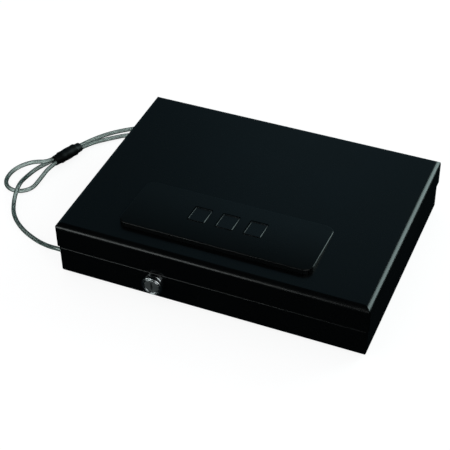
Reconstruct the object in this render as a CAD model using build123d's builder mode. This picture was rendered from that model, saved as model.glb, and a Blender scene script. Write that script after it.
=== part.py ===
"""Portable steel security case: a keypad and key lock, a rear hinge and a security cable.

The frame is in millimetres. The origin is the middle of the case's underside, +X runs to the
right along the front, +Y runs to the back and +Z runs up. The latch is drawn back at rest, so
the lid is free to open.
"""
from build123d import *
import os
from math import cos, pi, radians, sin, tan

os.makedirs("parts", exist_ok=True)

# ---- case
case_width = 280.0
case_depth = 206.0
case_height = 56.0
seam_height = 30.3  # middle of the gap between the base and the lid
seam_gap = 0.6
sheet = 1.5  # steel thickness of both shells
base_inset = 1.2  # the base stands this far inside the lid all round
upright_corner = 2.5
base_bottom_radius = 7.5
base_rim_radius = 1.2
base_flange = 7.0  # width of the return flange round the base's mouth
lid_top_radius = 5.0
lid_rim_radius = 2.4
lid_flange = 6.0

base_half_width = case_width / 2 - base_inset
base_half_depth = case_depth / 2 - base_inset
base_top = seam_height - seam_gap / 2
lid_bottom = seam_height + seam_gap / 2
lid_ceiling = case_height - sheet
base_front = -base_half_depth
base_front_inner = base_front + sheet
base_rear = base_half_depth
lid_rear = case_depth / 2
base_flange_underside = base_top - sheet
base_flange_edge = base_front + base_flange

# ---- rear hinge
hinge_length = 240.0
hinge_knuckles = 13
hinge_barrel_radius = 2.5
hinge_pin_radius = 1.25
hinge_pin_play = 0.03
hinge_pin_head_radius = 2.0
hinge_pin_head = 0.8
hinge_leaf = 1.0
hinge_leaf_height = 9.0
hinge_knuckle_gap = 0.4
hinge_stand_off = 0.1  # from the lid's rear face to the barrel
hinge_leaf_drop = 3.5  # from the pin to the near edge of each leaf
hinge_rivet_count = 6
rivet_radius = 1.6
rivet_head_radius = 3.0
rivet_head = 1.0
rivet_tail_radius = 2.6
rivet_tail = 0.8
hinge_axis_y = lid_rear + hinge_stand_off + hinge_barrel_radius
hinge_axis_z = seam_height

# ---- key lock
lock_x = -48.6
lock_below_rim = 10.4  # from the base's rim down to the lock's axis
lock_z = base_top - lock_below_rim
lock_collar_radius = 8.9
lock_collar = 1.9
lock_neck_radius = 7.7
lock_neck = 1.3
lock_rim_radius = 8.8
lock_rim = 3.0
lock_rim_edge = 0.9
lock_barrel_radius = 7.0
lock_barrel_play = 0.2
lock_barrel_length = 14.6
lock_nut_radius = 8.5
lock_nut_height = 4.0
plug_face_radius = 6.3
plug_face = 2.4
plug_face_set_back = 0.5
plug_radius = 4.9
plug_play = 0.05
plug_shoulder = 2.3  # the plug's length behind the lock's barrel
keyway_width = 1.7
keyway_height = 7.6
keyway_depth = 12.0
cam_square = 6.0
cam_square_play = 0.05
cam_thickness = 1.9
cam_hub_radius = 5.4
cam_screw_radius = 1.5
cam_screw_length = 6.0
cam_screw_head_radius = 4.2
cam_screw_head = 1.6

lock_face_y = base_front - lock_collar - lock_neck - lock_rim
plug_face_y = lock_face_y + plug_face_set_back
lock_barrel_end_y = base_front + lock_barrel_length
cam_front_y = lock_barrel_end_y + plug_shoulder
cam_rear_y = cam_front_y + cam_thickness

# ---- latch
latch_throw = 8.0
key_turn = pi / 2
cam_base_radius = latch_throw / key_turn  # an involute of this circle pushes at a constant rate
cam_reach = 12.0  # from the lock's axis to the tab when the latch is drawn back
cam_contact_play = 0.05
cam_tip_overrun = 0.1  # radians of involute past each end of the contact
bar_thickness = 2.5
bar_height = 10.0
bar_axis_above_rim = 8.7  # from the lid's lower rim up to the bar's middle
bar_left_x = -80.0
bar_right_x = 98.0
bar_axis_z = lid_bottom + bar_axis_above_rim
tab_width = 3.0
tab_tip_below_rim = 6.3
striker_x = (-30.0, 90.0)
striker_sheet = 2.0
striker_foot = 14.0
striker_upright = 8.0
striker_set_back = 0.8  # from the edge of the base's flange
striker_above_rim = 13.0
striker_edge = 2.0
striker_foot_overhang = 5.2
striker_rivet_offsets = (5.0, 10.5)
striker_rivet_radius = 1.5
striker_rivet_tail_radius = 2.4
tongue_play = 0.4
tongue_tip_gap = 1.0
tongue_length = 8.0
tongue_root = 5.0
tongue_height = 3.6
bar_to_striker = 0.8
bar_to_web = 0.2

striker_front_y = base_flange_edge + striker_set_back
striker_rear_y = striker_front_y + striker_upright
striker_top = base_top + striker_above_rim
window_width = striker_upright - 2 * striker_edge
tongue_width = window_width - 2 * tongue_play
window_height = tongue_height + 2 * tongue_play
tongue_y = (striker_front_y + striker_rear_y) / 2
bar_front_y = striker_rear_y + bar_to_striker
bar_rear_y = bar_front_y + bar_thickness
bar_mid_y = (bar_front_y + bar_rear_y) / 2
web_front_y = bar_rear_y + bar_to_web
tab_face_x = lock_x - cam_reach - cam_contact_play

# ---- latch chassis and solenoid
chassis_sheet = 1.5
chassis_left_x = -120.0
chassis_right_x = 106.0
chassis_front_y = striker_front_y - 0.3
web_rear_y = web_front_y + chassis_sheet
chassis_bottom = bar_axis_z - bar_height / 2 - 0.4
chassis_top_flange = lid_ceiling - chassis_sheet
guide_x = (0.0, 48.0)
guide_shoulder_radius = 2.0
guide_slot_play = 0.2
guide_thread_radius = 1.5
guide_head_radius = 3.6
guide_head = 1.5
guide_nut_radius = 3.2
guide_nut = 2.4
solenoid_left_x = -118.0
solenoid_length = 26.0
solenoid_depth = 11.6
solenoid_height = 12.0
solenoid_plate = 1.5
coil_radius = 5.4
coil_bore_play = 0.1
plunger_radius = 2.5
plunger_length = 38.0
plunger_collar_radius = 3.9
plunger_collar = 1.0
plunger_exposed = 22.0  # outside the solenoid when it is pulled in
spring_space = 9.0
spring_wire_radius = 0.35
spring_radius = 3.2
spring_pitch = 2.0
link_pin_radius = 1.0
link_pin_inset = 5.0  # from the end of the plunger
solenoid_axis_y = web_front_y - solenoid_depth / 2
solenoid_right_x = solenoid_left_x + solenoid_length
link_x = solenoid_right_x + plunger_exposed - link_pin_inset
coil_left_x = solenoid_left_x + solenoid_plate
coil_right_x = solenoid_right_x - solenoid_plate
coil_mid_x = (coil_left_x + coil_right_x) / 2
lead_radius = 0.6
lead_spacing = 1.8
lead_bend = 1.6
lead_hole_play = 0.2
lead_x = (coil_mid_x, coil_mid_x + lead_spacing)

# ---- inner housing of the lid
housing_half_width = 124.0
housing_depth = 76.4
housing_wall = 1.5
housing_to_flange = 0.6
housing_below = 0.3  # from the lid's lower rim up to the housing's underside
housing_top_gap = 0.3
housing_front_y = -case_depth / 2 + lid_flange + housing_to_flange
housing_rear_y = housing_front_y + housing_depth
housing_bottom = lid_bottom + housing_below
housing_floor = housing_bottom + housing_wall
housing_corner = 3.0
standoff_x = 117.0
standoff_y = (housing_front_y + 22.4, housing_rear_y - 8.0)
standoff_radius = 3.4
screw_radius = 1.5
screw_head_radius = 2.8
screw_head = 1.6
screw_bite = 6.0
slot_margin = 1.0

# ---- keypad panel
panel_x = -3.3
panel_half_width = 86.5
panel_set_back = 19.7  # from the lid's front face
panel_depth = 63.0
panel_front_y = -case_depth / 2 + panel_set_back
panel_rear_y = panel_front_y + panel_depth
panel_front_height = 4.6
panel_rear_height = 1.0
panel_corner = 8.0
panel_edge = 0.8
panel_wall = 2.0
cutout_half_width = 77.0
cutout_front_y = panel_front_y + 8.8
cutout_rear_y = panel_rear_y - 8.7
cutout_corner = 3.0
panel_boss_x = 65.0
panel_boss_y = (panel_front_y + 15.3, panel_front_y + 48.3)
panel_boss_radius = 2.8
panel_screw_x = 78.0
panel_screw_y = panel_front_y + 4.9
panel_screw_radius = 1.3
panel_screw_head_radius = 2.2
panel_screw_bite = 2.4
hook_x = 50.0
hook_width = 10.0
hook_reach = 2.5
hook_thickness = 1.4
hook_gap = 0.2

button_pitch = 25.4
button_width = 15.8
button_depth = 20.0
button_y = panel_front_y + 34.7
button_corner = 1.4
button_gap = 0.3
button_proud = 0.5
button_edge = 0.35
button_dish = 0.25
button_dish_margin = 1.3
button_travel = 0.6
lip_gap = 0.1
lip_margin = 0.8
lip = 0.8

panel_slope = (panel_front_height - panel_rear_height) / (panel_rear_y - panel_front_y)

# ---- electronics
board_top = lid_ceiling - 2.5
board_thickness = 1.6
board_half_width = 70.0
board_depth = 41.0
board_front_y = panel_front_y + 11.3
board_rear_y = board_front_y + board_depth
board_bottom = board_top - board_thickness
switch_size = 6.2
switch_height = 2.6
switch_bore_play = 0.3
plunger_pin_radius = 1.5
plunger_pin_depth = 1.3
buzzer_x = 61.0
buzzer_y = panel_front_y + 35.3
buzzer_radius = 4.5
buzzer_height = 5.0
buzzer_to_sound_hole = 12.0
chip_x = -64.0
chip_y = panel_front_y + 33.3
chip_size = (10.0, 7.5, 1.8)
program_x = 60.6
program_y = panel_front_y + 24.5
program_switch_height = 3.0
program_cap_radius = 3.4
program_cap_proud = 0.6
program_flange_radius = 4.6
program_flange = 1.0
program_stem_radius = 1.8
program_play = 0.3
program_travel = 1.0
program_stem_gap = 1.2

# ---- batteries
cell_radius = 7.1
cell_length = 49.0
cell_nub_radius = 2.7
cell_nub = 1.2
cell_gap = 0.6
contact = 0.5
contact_size = 10.0
contact_stub_radius = 2.6
contact_stub = 1.2
battery_wall = 1.2
battery_mid_y = panel_front_y + 37.8
battery_lift = 0.6  # from the battery door up to the cells
battery_roof = 1.0
door_gap = 0.3
door_ledge = 1.2
door_grip = 12.0
door_grip_inset = 9.0
battery_lead_offset = 8.0
battery_lead_reach = 3.0
cell_pitch = 2 * cell_radius + cell_gap
cell_z = housing_floor + battery_lift + cell_radius
battery_inner_half_width = cell_gap / 2 + cell_length + cell_nub + contact_stub + contact
battery_inner_half_depth = cell_pitch / 2 + cell_radius + 0.4
battery_roof_z = cell_z + cell_radius + 0.6

# ---- foam
foam_thickness = 4.0
foam_seat_gap = 0.2
foam_margin = 1.3
lid_foam_thickness = 3.5
lid_foam_front_gap = 3.0

# ---- security cable
cable_radius = 2.0
cable_exit_y = base_front + 14.8
cable_exit_z = 12.0
grommet_radius = 3.6
grommet_flange_radius = 5.0
grommet_flange = 1.2
grommet_bore_play = 0.15
stop_radius = 4.0
stop_length = 9.0
stop_grip = 7.0
sleeve_start = Vector(-216.9, 28.0, 7.1)  # the neck that the eye leaves
sleeve_end = Vector(-205.7, 61.4, 5.3)  # the neck that faces the case
sleeve_radius = 5.6
sleeve_neck_radius = 4.6
sleeve_small_neck_radius = 3.3
sleeve_neck_length = 6.5
sleeve_taper = 2.0

wall_left = -base_half_width
stop_face_x = wall_left + sheet + grommet_flange
cable_route = [
    (stop_face_x + stop_grip, cable_exit_y, cable_exit_z),
    (-149.0, cable_exit_y, cable_exit_z),
    (-164.0, -81.0, 5.6),
    (-180.0, -74.5, 2.0),
    (-199.0, -66.0, 2.0),
    (-216.0, -52.0, 2.0),
    (-225.0, -36.0, 3.0),
    (-228.5, -23.0, 7.4),
    (-230.6, -11.5, 7.4),
    (-233.0, 2.5, 2.6),
    (-231.0, 17.0, 2.0),
    (-221.9, 35.9, 2.0),
    (-207.9, 69.1, 2.0),
    (-193.5, 92.0, 2.0),
    (-174.0, 109.5, 2.0),
    (-146.0, 127.0, 2.0),
    (-108.0, 142.0, 2.0),
    (-64.0, 150.5, 2.0),
    (-14.0, 156.0, 2.0),
    (28.0, 162.0, 2.0),
    (58.0, 165.0, 2.0),
    (82.0, 165.8, 2.0),
    (99.0, 163.6, 2.0),
    (112.4, 154.6, 2.0),
    (117.6, 139.0, 2.0),
    (112.4, 123.2, 2.0),
    (99.0, 113.8, 2.0),
    (82.0, 113.0, 2.0),
    (50.0, 114.4, 2.0),
    (4.0, 119.5, 2.0),
    (-50.0, 119.8, 2.0),
    (-102.0, 116.5, 2.0),
    (-144.0, 111.0, 2.0),
    (-170.0, 101.0, 2.0),
    (-188.0, 85.2, 2.4),
    (-201.9, 65.9, 5.0),
    (-216.6, 22.1, 7.4),
    (-218.9, 1.5, 2.8),
    (-219.5, -10.8, 2.0),
    (-228.2, -19.4, 2.0),
    (-240.4, -19.2, 2.0),
    (-249.1, -10.4, 2.0),
    (-251.0, 4.0, 2.0),
    (-245.5, 14.6, 3.8),
    (-233.5, 20.3, 7.8),
    (-220.4, 24.5, 8.0),
    (-214.6, 41.6, 6.5),
]


def rounded_block(width, depth, low, high, corner, low_radius, high_radius):
    """A block with its own radius on the upright corners, the lower edges and the upper edges."""
    with BuildPart() as block:
        for plane, span, length in ((Plane.XZ, width, depth), (Plane.YZ, depth, width)):
            with BuildSketch(plane) as side:
                with Locations((0, (low + high) / 2)):
                    Rectangle(span, high - low)
                fillet(side.vertices().group_by(Axis.Y)[0], radius=low_radius)
                fillet(side.vertices().group_by(Axis.Y)[-1], radius=high_radius)
            first = plane == Plane.XZ
            extrude(amount=length, both=True, mode=Mode.ADD if first else Mode.INTERSECT)
        with BuildSketch(Plane.XY.offset(low - 1.0)):
            RectangleRounded(width, depth, corner)
        extrude(amount=high - low + 2.0, mode=Mode.INTERSECT)
    return block.part


def front_plane(y):
    """A plane that faces the front: its x is the frame's X and its y is the frame's Z."""
    return Plane(origin=(0, y, 0), x_dir=(1, 0, 0), z_dir=(0, -1, 0))


def right_plane(x):
    """A plane that faces right: its x is the frame's Y and its y is the frame's Z."""
    return Plane(origin=(x, 0, 0), x_dir=(0, 1, 0), z_dir=(1, 0, 0))


def save(node, name):
    """Label the finished piece and write it to its own file."""
    node.part.label = name
    export_step(node.part, f"parts/{name}.step")


# ======================================================================= base
hinge_rivet_pitch = hinge_length / hinge_rivet_count
hinge_rivet_x = [
    -hinge_length / 2 + hinge_rivet_pitch * (i + 0.5) for i in range(hinge_rivet_count)
]
base_rivet_z = hinge_axis_z - hinge_leaf_drop - hinge_leaf_height / 2
lid_rivet_z = hinge_axis_z + hinge_leaf_drop + hinge_leaf_height / 2
striker_rivet_y = striker_front_y - striker_foot_overhang / 2 - 0.6
striker_rivet_spots = [
    (x + offset, striker_rivet_y) for x in striker_x for offset in striker_rivet_offsets
]

base_outer = rounded_block(
    2 * base_half_width, 2 * base_half_depth, 0, base_top,
    upright_corner, base_bottom_radius, base_rim_radius,
)
base_hollow = rounded_block(
    2 * (base_half_width - sheet), 2 * (base_half_depth - sheet), sheet, base_flange_underside,
    upright_corner - sheet, base_bottom_radius - sheet, sheet / 4,
)
with BuildPart() as base_shell:
    add(base_outer)
    add(base_hollow, mode=Mode.SUBTRACT)
    with BuildSketch(Plane.XY.offset(base_flange_underside)):
        RectangleRounded(
            2 * (base_half_width - base_flange), 2 * (base_half_depth - base_flange), 4.0
        )
    extrude(amount=2 * sheet, mode=Mode.SUBTRACT)
    # lock hole in the front wall
    with BuildSketch(front_plane(base_front)):
        with Locations((lock_x, lock_z)):
            Circle(lock_barrel_radius + lock_barrel_play)
    extrude(amount=-2 * sheet, mode=Mode.SUBTRACT)
    # cable hole in the left wall
    with BuildSketch(right_plane(wall_left)):
        with Locations((cable_exit_y, cable_exit_z)):
            Circle(grommet_radius)
    extrude(amount=2 * sheet, mode=Mode.SUBTRACT)
    # striker rivets through the front flange
    with BuildSketch(Plane.XY.offset(base_flange_underside)):
        with Locations(*striker_rivet_spots):
            Circle(striker_rivet_radius)
    extrude(amount=sheet, mode=Mode.SUBTRACT)
    # hinge rivets through the rear wall
    with BuildSketch(front_plane(base_rear)):
        with Locations(*[(x, base_rivet_z) for x in hinge_rivet_x]):
            Circle(rivet_radius)
    extrude(amount=2 * sheet, both=True, mode=Mode.SUBTRACT)
save(base_shell, "base_shell")

with BuildPart() as foam_pad:
    with BuildSketch(Plane.XY.offset(sheet + foam_seat_gap)):
        RectangleRounded(
            2 * (base_half_width - base_bottom_radius - foam_margin),
            2 * (base_half_depth - base_bottom_radius - foam_margin),
            6.0,
        )
    extrude(amount=foam_thickness)
save(foam_pad, "foam_pad")

# ---- strikers: an angle with a window in its upright, riveted under the base's flange
with BuildPart() as striker_brackets:
    for x in striker_x:
        foot_front_y = striker_front_y - striker_foot_overhang
        foot_depth = striker_rear_y - foot_front_y
        with BuildSketch(Plane.XY.offset(base_flange_underside - striker_sheet)):
            with Locations((x + striker_foot / 2, foot_front_y + foot_depth / 2)):
                Rectangle(striker_foot, foot_depth)
        extrude(amount=striker_sheet)
        with BuildSketch(right_plane(x)):
            upright_low = base_flange_underside - striker_sheet
            with Locations((tongue_y, (upright_low + striker_top) / 2)):
                Rectangle(striker_upright, striker_top - upright_low)
        extrude(amount=striker_sheet)
        with BuildSketch(right_plane(x)):
            with Locations((tongue_y, bar_axis_z)):
                Rectangle(window_width, window_height)
        extrude(amount=striker_sheet, mode=Mode.SUBTRACT)
    with BuildSketch(Plane.XY.offset(base_flange_underside - striker_sheet)):
        with Locations(*striker_rivet_spots):
            Circle(striker_rivet_radius)
    extrude(amount=striker_sheet, mode=Mode.SUBTRACT)
save(striker_brackets, "striker_brackets")

with BuildPart() as striker_rivets:
    rivet_low = base_flange_underside - striker_sheet
    with BuildSketch(Plane.XY.offset(rivet_low)):
        with Locations(*striker_rivet_spots):
            Circle(striker_rivet_radius)
    extrude(amount=base_top - rivet_low)
    with BuildSketch(Plane.XY.offset(rivet_low)):
        with Locations(*striker_rivet_spots):
            Circle(striker_rivet_tail_radius)
    extrude(amount=-rivet_tail)
save(striker_rivets, "striker_rivets")

# ======================================================================= hinge
knuckle_pitch = hinge_length / hinge_knuckles


def hinge_knuckle_spans(first):
    """Start and end of every second knuckle, counted from the left."""
    return [
        (
            -hinge_length / 2 + i * knuckle_pitch + hinge_knuckle_gap / 2,
            -hinge_length / 2 + (i + 1) * knuckle_pitch - hinge_knuckle_gap / 2,
        )
        for i in range(first, hinge_knuckles, 2)
    ]


def hinge_leaf_solid(first, wall_y, side):
    """A leaf that lies on a wall, with its share of the knuckles. side is +1 up or -1 down."""
    near_z = hinge_axis_z + side * hinge_leaf_drop
    far_z = near_z + side * hinge_leaf_height
    barrel_front_y = hinge_axis_y - hinge_barrel_radius
    rivet_z = (near_z + far_z) / 2
    with BuildPart() as leaf:
        with BuildSketch(right_plane(-hinge_length / 2)):
            with Locations((wall_y + hinge_leaf / 2, rivet_z)):
                Rectangle(hinge_leaf, hinge_leaf_height)
        extrude(amount=hinge_length)
        for start, end in hinge_knuckle_spans(first):
            with BuildSketch(right_plane(start)):
                with BuildLine():
                    Polyline(
                        (wall_y, near_z + side),
                        (wall_y + hinge_leaf, near_z + side),
                        (wall_y + hinge_leaf, near_z),
                        (barrel_front_y + hinge_leaf, hinge_axis_z + side),
                        (barrel_front_y + hinge_leaf, hinge_axis_z),
                        (barrel_front_y, hinge_axis_z),
                        (wall_y, near_z),
                        close=True,
                    )
                make_face()
                with Locations((hinge_axis_y, hinge_axis_z)):
                    Circle(hinge_barrel_radius)
                    Circle(hinge_pin_radius + hinge_pin_play, mode=Mode.SUBTRACT)
            extrude(amount=end - start)
        with BuildSketch(front_plane(wall_y)):
            with Locations(*[(x, rivet_z) for x in hinge_rivet_x]):
                Circle(rivet_radius)
        extrude(amount=-hinge_leaf, mode=Mode.SUBTRACT)
    return leaf


hinge_leaf_base = hinge_leaf_solid(0, base_rear, -1)
save(hinge_leaf_base, "hinge_leaf_base")
hinge_leaf_lid = hinge_leaf_solid(1, lid_rear, 1)
save(hinge_leaf_lid, "hinge_leaf_lid")

with BuildPart() as hinge_pin:
    with BuildSketch(right_plane(-hinge_length / 2)):
        with Locations((hinge_axis_y, hinge_axis_z)):
            Circle(hinge_pin_radius)
    extrude(amount=hinge_length)
    for x, away in ((-hinge_length / 2, -1), (hinge_length / 2, 1)):
        with BuildSketch(right_plane(x)):
            with Locations((hinge_axis_y, hinge_axis_z)):
                Circle(hinge_pin_head_radius)
        extrude(amount=away * hinge_pin_head)
save(hinge_pin, "hinge_pin")


def hinge_rivets(wall_y, rivet_z):
    """Rivets through a leaf and the wall in front of it, headed on the outside."""
    spots = [(x, rivet_z) for x in hinge_rivet_x]
    outer_y = wall_y + hinge_leaf
    inner_y = wall_y - sheet
    with BuildPart() as rivets:
        with BuildSketch(front_plane(outer_y)):
            with Locations(*spots):
                Circle(rivet_radius)
        extrude(amount=outer_y - inner_y)
        with BuildSketch(front_plane(outer_y)):
            with Locations(*spots):
                Circle(rivet_head_radius)
        extrude(amount=-rivet_head)
        with BuildSketch(front_plane(inner_y)):
            with Locations(*spots):
                Circle(rivet_tail_radius)
        extrude(amount=rivet_tail)
        fillet(rivets.edges().group_by(Axis.Y)[-1], radius=0.7 * rivet_head)
    return rivets


hinge_rivets_base = hinge_rivets(base_rear, base_rivet_z)
save(hinge_rivets_base, "hinge_rivets_base")
hinge_rivets_lid = hinge_rivets(lid_rear, lid_rivet_z)
save(hinge_rivets_lid, "hinge_rivets_lid")

# ======================================================================= key lock
with BuildPart() as lock_body:
    steps = [
        (base_front, lock_collar, lock_collar_radius),
        (base_front - lock_collar, lock_neck, lock_neck_radius),
        (base_front - lock_collar - lock_neck, lock_rim, lock_rim_radius),
    ]
    for y, length, radius in steps:
        with BuildSketch(front_plane(y)):
            with Locations((lock_x, lock_z)):
                Circle(radius)
        extrude(amount=length)
    fillet(lock_body.edges().group_by(Axis.Y)[0], radius=lock_rim_edge)
    with BuildSketch(front_plane(base_front)):
        with Locations((lock_x, lock_z)):
            Circle(lock_barrel_radius)
    extrude(amount=-lock_barrel_length)
    with BuildSketch(front_plane(lock_face_y)):
        with Locations((lock_x, lock_z)):
            Circle(plug_radius + plug_play)
    extrude(amount=lock_face_y - lock_barrel_end_y, mode=Mode.SUBTRACT)
    with BuildSketch(front_plane(lock_face_y)):
        with Locations((lock_x, lock_z)):
            Circle(plug_face_radius + plug_play)
    extrude(amount=-plug_face - plug_face_set_back - plug_play, mode=Mode.SUBTRACT)
save(lock_body, "lock_body")

with BuildPart() as lock_nut:
    with BuildSketch(front_plane(base_front_inner)):
        with Locations((lock_x, lock_z)):
            RegularPolygon(lock_nut_radius, 6)
            Circle(lock_barrel_radius, mode=Mode.SUBTRACT)
    extrude(amount=-lock_nut_height)
save(lock_nut, "lock_nut")

with BuildPart() as key_plug:
    with BuildSketch(front_plane(plug_face_y)):
        with Locations((lock_x, lock_z)):
            Circle(plug_face_radius)
    extrude(amount=-plug_face)
    fillet(key_plug.edges().group_by(Axis.Y)[0], radius=0.4)
    with BuildSketch(front_plane(plug_face_y)):
        with Locations((lock_x, lock_z)):
            Circle(plug_radius)
    extrude(amount=plug_face_y - cam_front_y)
    with BuildSketch(front_plane(cam_front_y)):
        with Locations((lock_x, lock_z)):
            Rectangle(cam_square, cam_square)
    extrude(amount=-cam_thickness)
    with BuildSketch(front_plane(plug_face_y)):
        with Locations((lock_x, lock_z)):
            Rectangle(keyway_width, keyway_height)
    extrude(amount=-keyway_depth, mode=Mode.SUBTRACT)
    with BuildSketch(front_plane(cam_rear_y)):
        with Locations((lock_x, lock_z)):
            Circle(cam_screw_radius)
    extrude(amount=cam_screw_length, mode=Mode.SUBTRACT)
save(key_plug, "key_plug")

# ---- cam: the involute flank pushes the latch's tab along X at a constant rate
roll_out = cam_reach / cam_base_radius + cam_tip_overrun
roll_in = (cam_reach - latch_throw) / cam_base_radius - cam_tip_overrun
flank_start = pi / 2 + cam_reach / cam_base_radius


def flank_point(roll):
    """A point of the cam's involute, as X and Z from the lock's axis."""
    angle = flank_start - roll
    x = cam_base_radius * (cos(angle) - roll * sin(angle))
    z = cam_base_radius * (sin(angle) + roll * cos(angle))
    return (lock_x + x, lock_z + z)


flank_steps = 8
flank = [
    flank_point(roll_in + (roll_out - roll_in) * i / flank_steps) for i in range(flank_steps + 1)
]
hub_top = (lock_x, lock_z + cam_hub_radius)
with BuildPart() as lock_cam:
    with BuildSketch(front_plane(cam_front_y)):
        with BuildLine():
            Spline(*flank)
            Line(flank[-1], (flank[-1][0] + 1.4, flank[-1][1] + 1.0))
            Line((flank[-1][0] + 1.4, flank[-1][1] + 1.0), hub_top)
            Line(hub_top, (lock_x, lock_z))
            Line((lock_x, lock_z), flank[0])
        make_face()
        with Locations((lock_x, lock_z)):
            Circle(cam_hub_radius)
            Rectangle(
                cam_square + 2 * cam_square_play, cam_square + 2 * cam_square_play,
                mode=Mode.SUBTRACT,
            )
    extrude(amount=-cam_thickness)
save(lock_cam, "lock_cam")

with BuildPart() as cam_screw:
    with BuildSketch(front_plane(cam_rear_y)):
        with Locations((lock_x, lock_z)):
            Circle(cam_screw_radius)
    extrude(amount=cam_screw_length)
    with BuildSketch(front_plane(cam_rear_y)):
        with Locations((lock_x, lock_z)):
            Circle(cam_screw_head_radius)
    extrude(amount=-cam_screw_head)
    with BuildSketch(front_plane(cam_rear_y + cam_screw_head)):
        with Locations((lock_x, lock_z)):
            Rectangle(1.0, 2 * cam_screw_head_radius)
    extrude(amount=0.8, mode=Mode.SUBTRACT)
save(cam_screw, "cam_screw")

# ======================================================================= lid
panel_normal = Vector(0, panel_slope, 1).normalized()
panel_screw_spots = [
    (panel_x - panel_screw_x, panel_screw_y),
    (panel_x, panel_screw_y),
    (panel_x + panel_screw_x, panel_screw_y),
]
cutout_mid_y = (cutout_front_y + cutout_rear_y) / 2
lid_outer = rounded_block(
    case_width, case_depth, lid_bottom, case_height,
    upright_corner, lid_rim_radius, lid_top_radius,
)
lid_hollow = rounded_block(
    case_width - 2 * sheet, case_depth - 2 * sheet, lid_bottom + sheet, lid_ceiling,
    upright_corner - sheet, lid_rim_radius - sheet, lid_top_radius - sheet,
)
with BuildPart() as lid_shell:
    add(lid_outer)
    add(lid_hollow, mode=Mode.SUBTRACT)
    with BuildSketch(Plane.XY.offset(lid_bottom)):
        RectangleRounded(case_width - 2 * lid_flange, case_depth - 2 * lid_flange, 4.0)
    extrude(amount=2 * sheet, mode=Mode.SUBTRACT)
    with BuildSketch(Plane.XY.offset(lid_ceiling)):
        with Locations((panel_x, cutout_mid_y)):
            RectangleRounded(2 * cutout_half_width, cutout_rear_y - cutout_front_y, cutout_corner)
        with Locations(*panel_screw_spots):
            Circle(panel_screw_radius)
    extrude(amount=sheet, mode=Mode.SUBTRACT)
    with BuildSketch(front_plane(lid_rear)):
        with Locations(*[(x, lid_rivet_z) for x in hinge_rivet_x]):
            Circle(rivet_radius)
    extrude(amount=2 * sheet, both=True, mode=Mode.SUBTRACT)
save(lid_shell, "lid_shell")

with BuildPart() as lid_foam:
    foam_front_y = housing_rear_y + lid_foam_front_gap
    foam_rear_y = case_depth / 2 - lid_top_radius - foam_margin
    with BuildSketch(Plane.XY.offset(lid_ceiling - foam_seat_gap)):
        with Locations((0, (foam_front_y + foam_rear_y) / 2)):
            RectangleRounded(
                case_width - 2 * (lid_top_radius + foam_margin), foam_rear_y - foam_front_y, 6.0
            )
    extrude(amount=-lid_foam_thickness)
save(lid_foam, "lid_foam")


# ---- keypad panel: a shallow wedge that rises towards the front
def panel_top(y):
    """Height of the panel's sloping face."""
    return case_height + panel_rear_height + panel_slope * (panel_rear_y - y)


button_x = [panel_x + button_pitch * i for i in (-1, 0, 1)]
panel_mid_y = (panel_front_y + panel_rear_y) / 2


def button_plane(x, depth):
    """A plane along the panel's face at a button, this far above it."""
    face = Plane(origin=(x, button_y, panel_top(button_y)), x_dir=(1, 0, 0), z_dir=panel_normal)
    return face.offset(depth)


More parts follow.
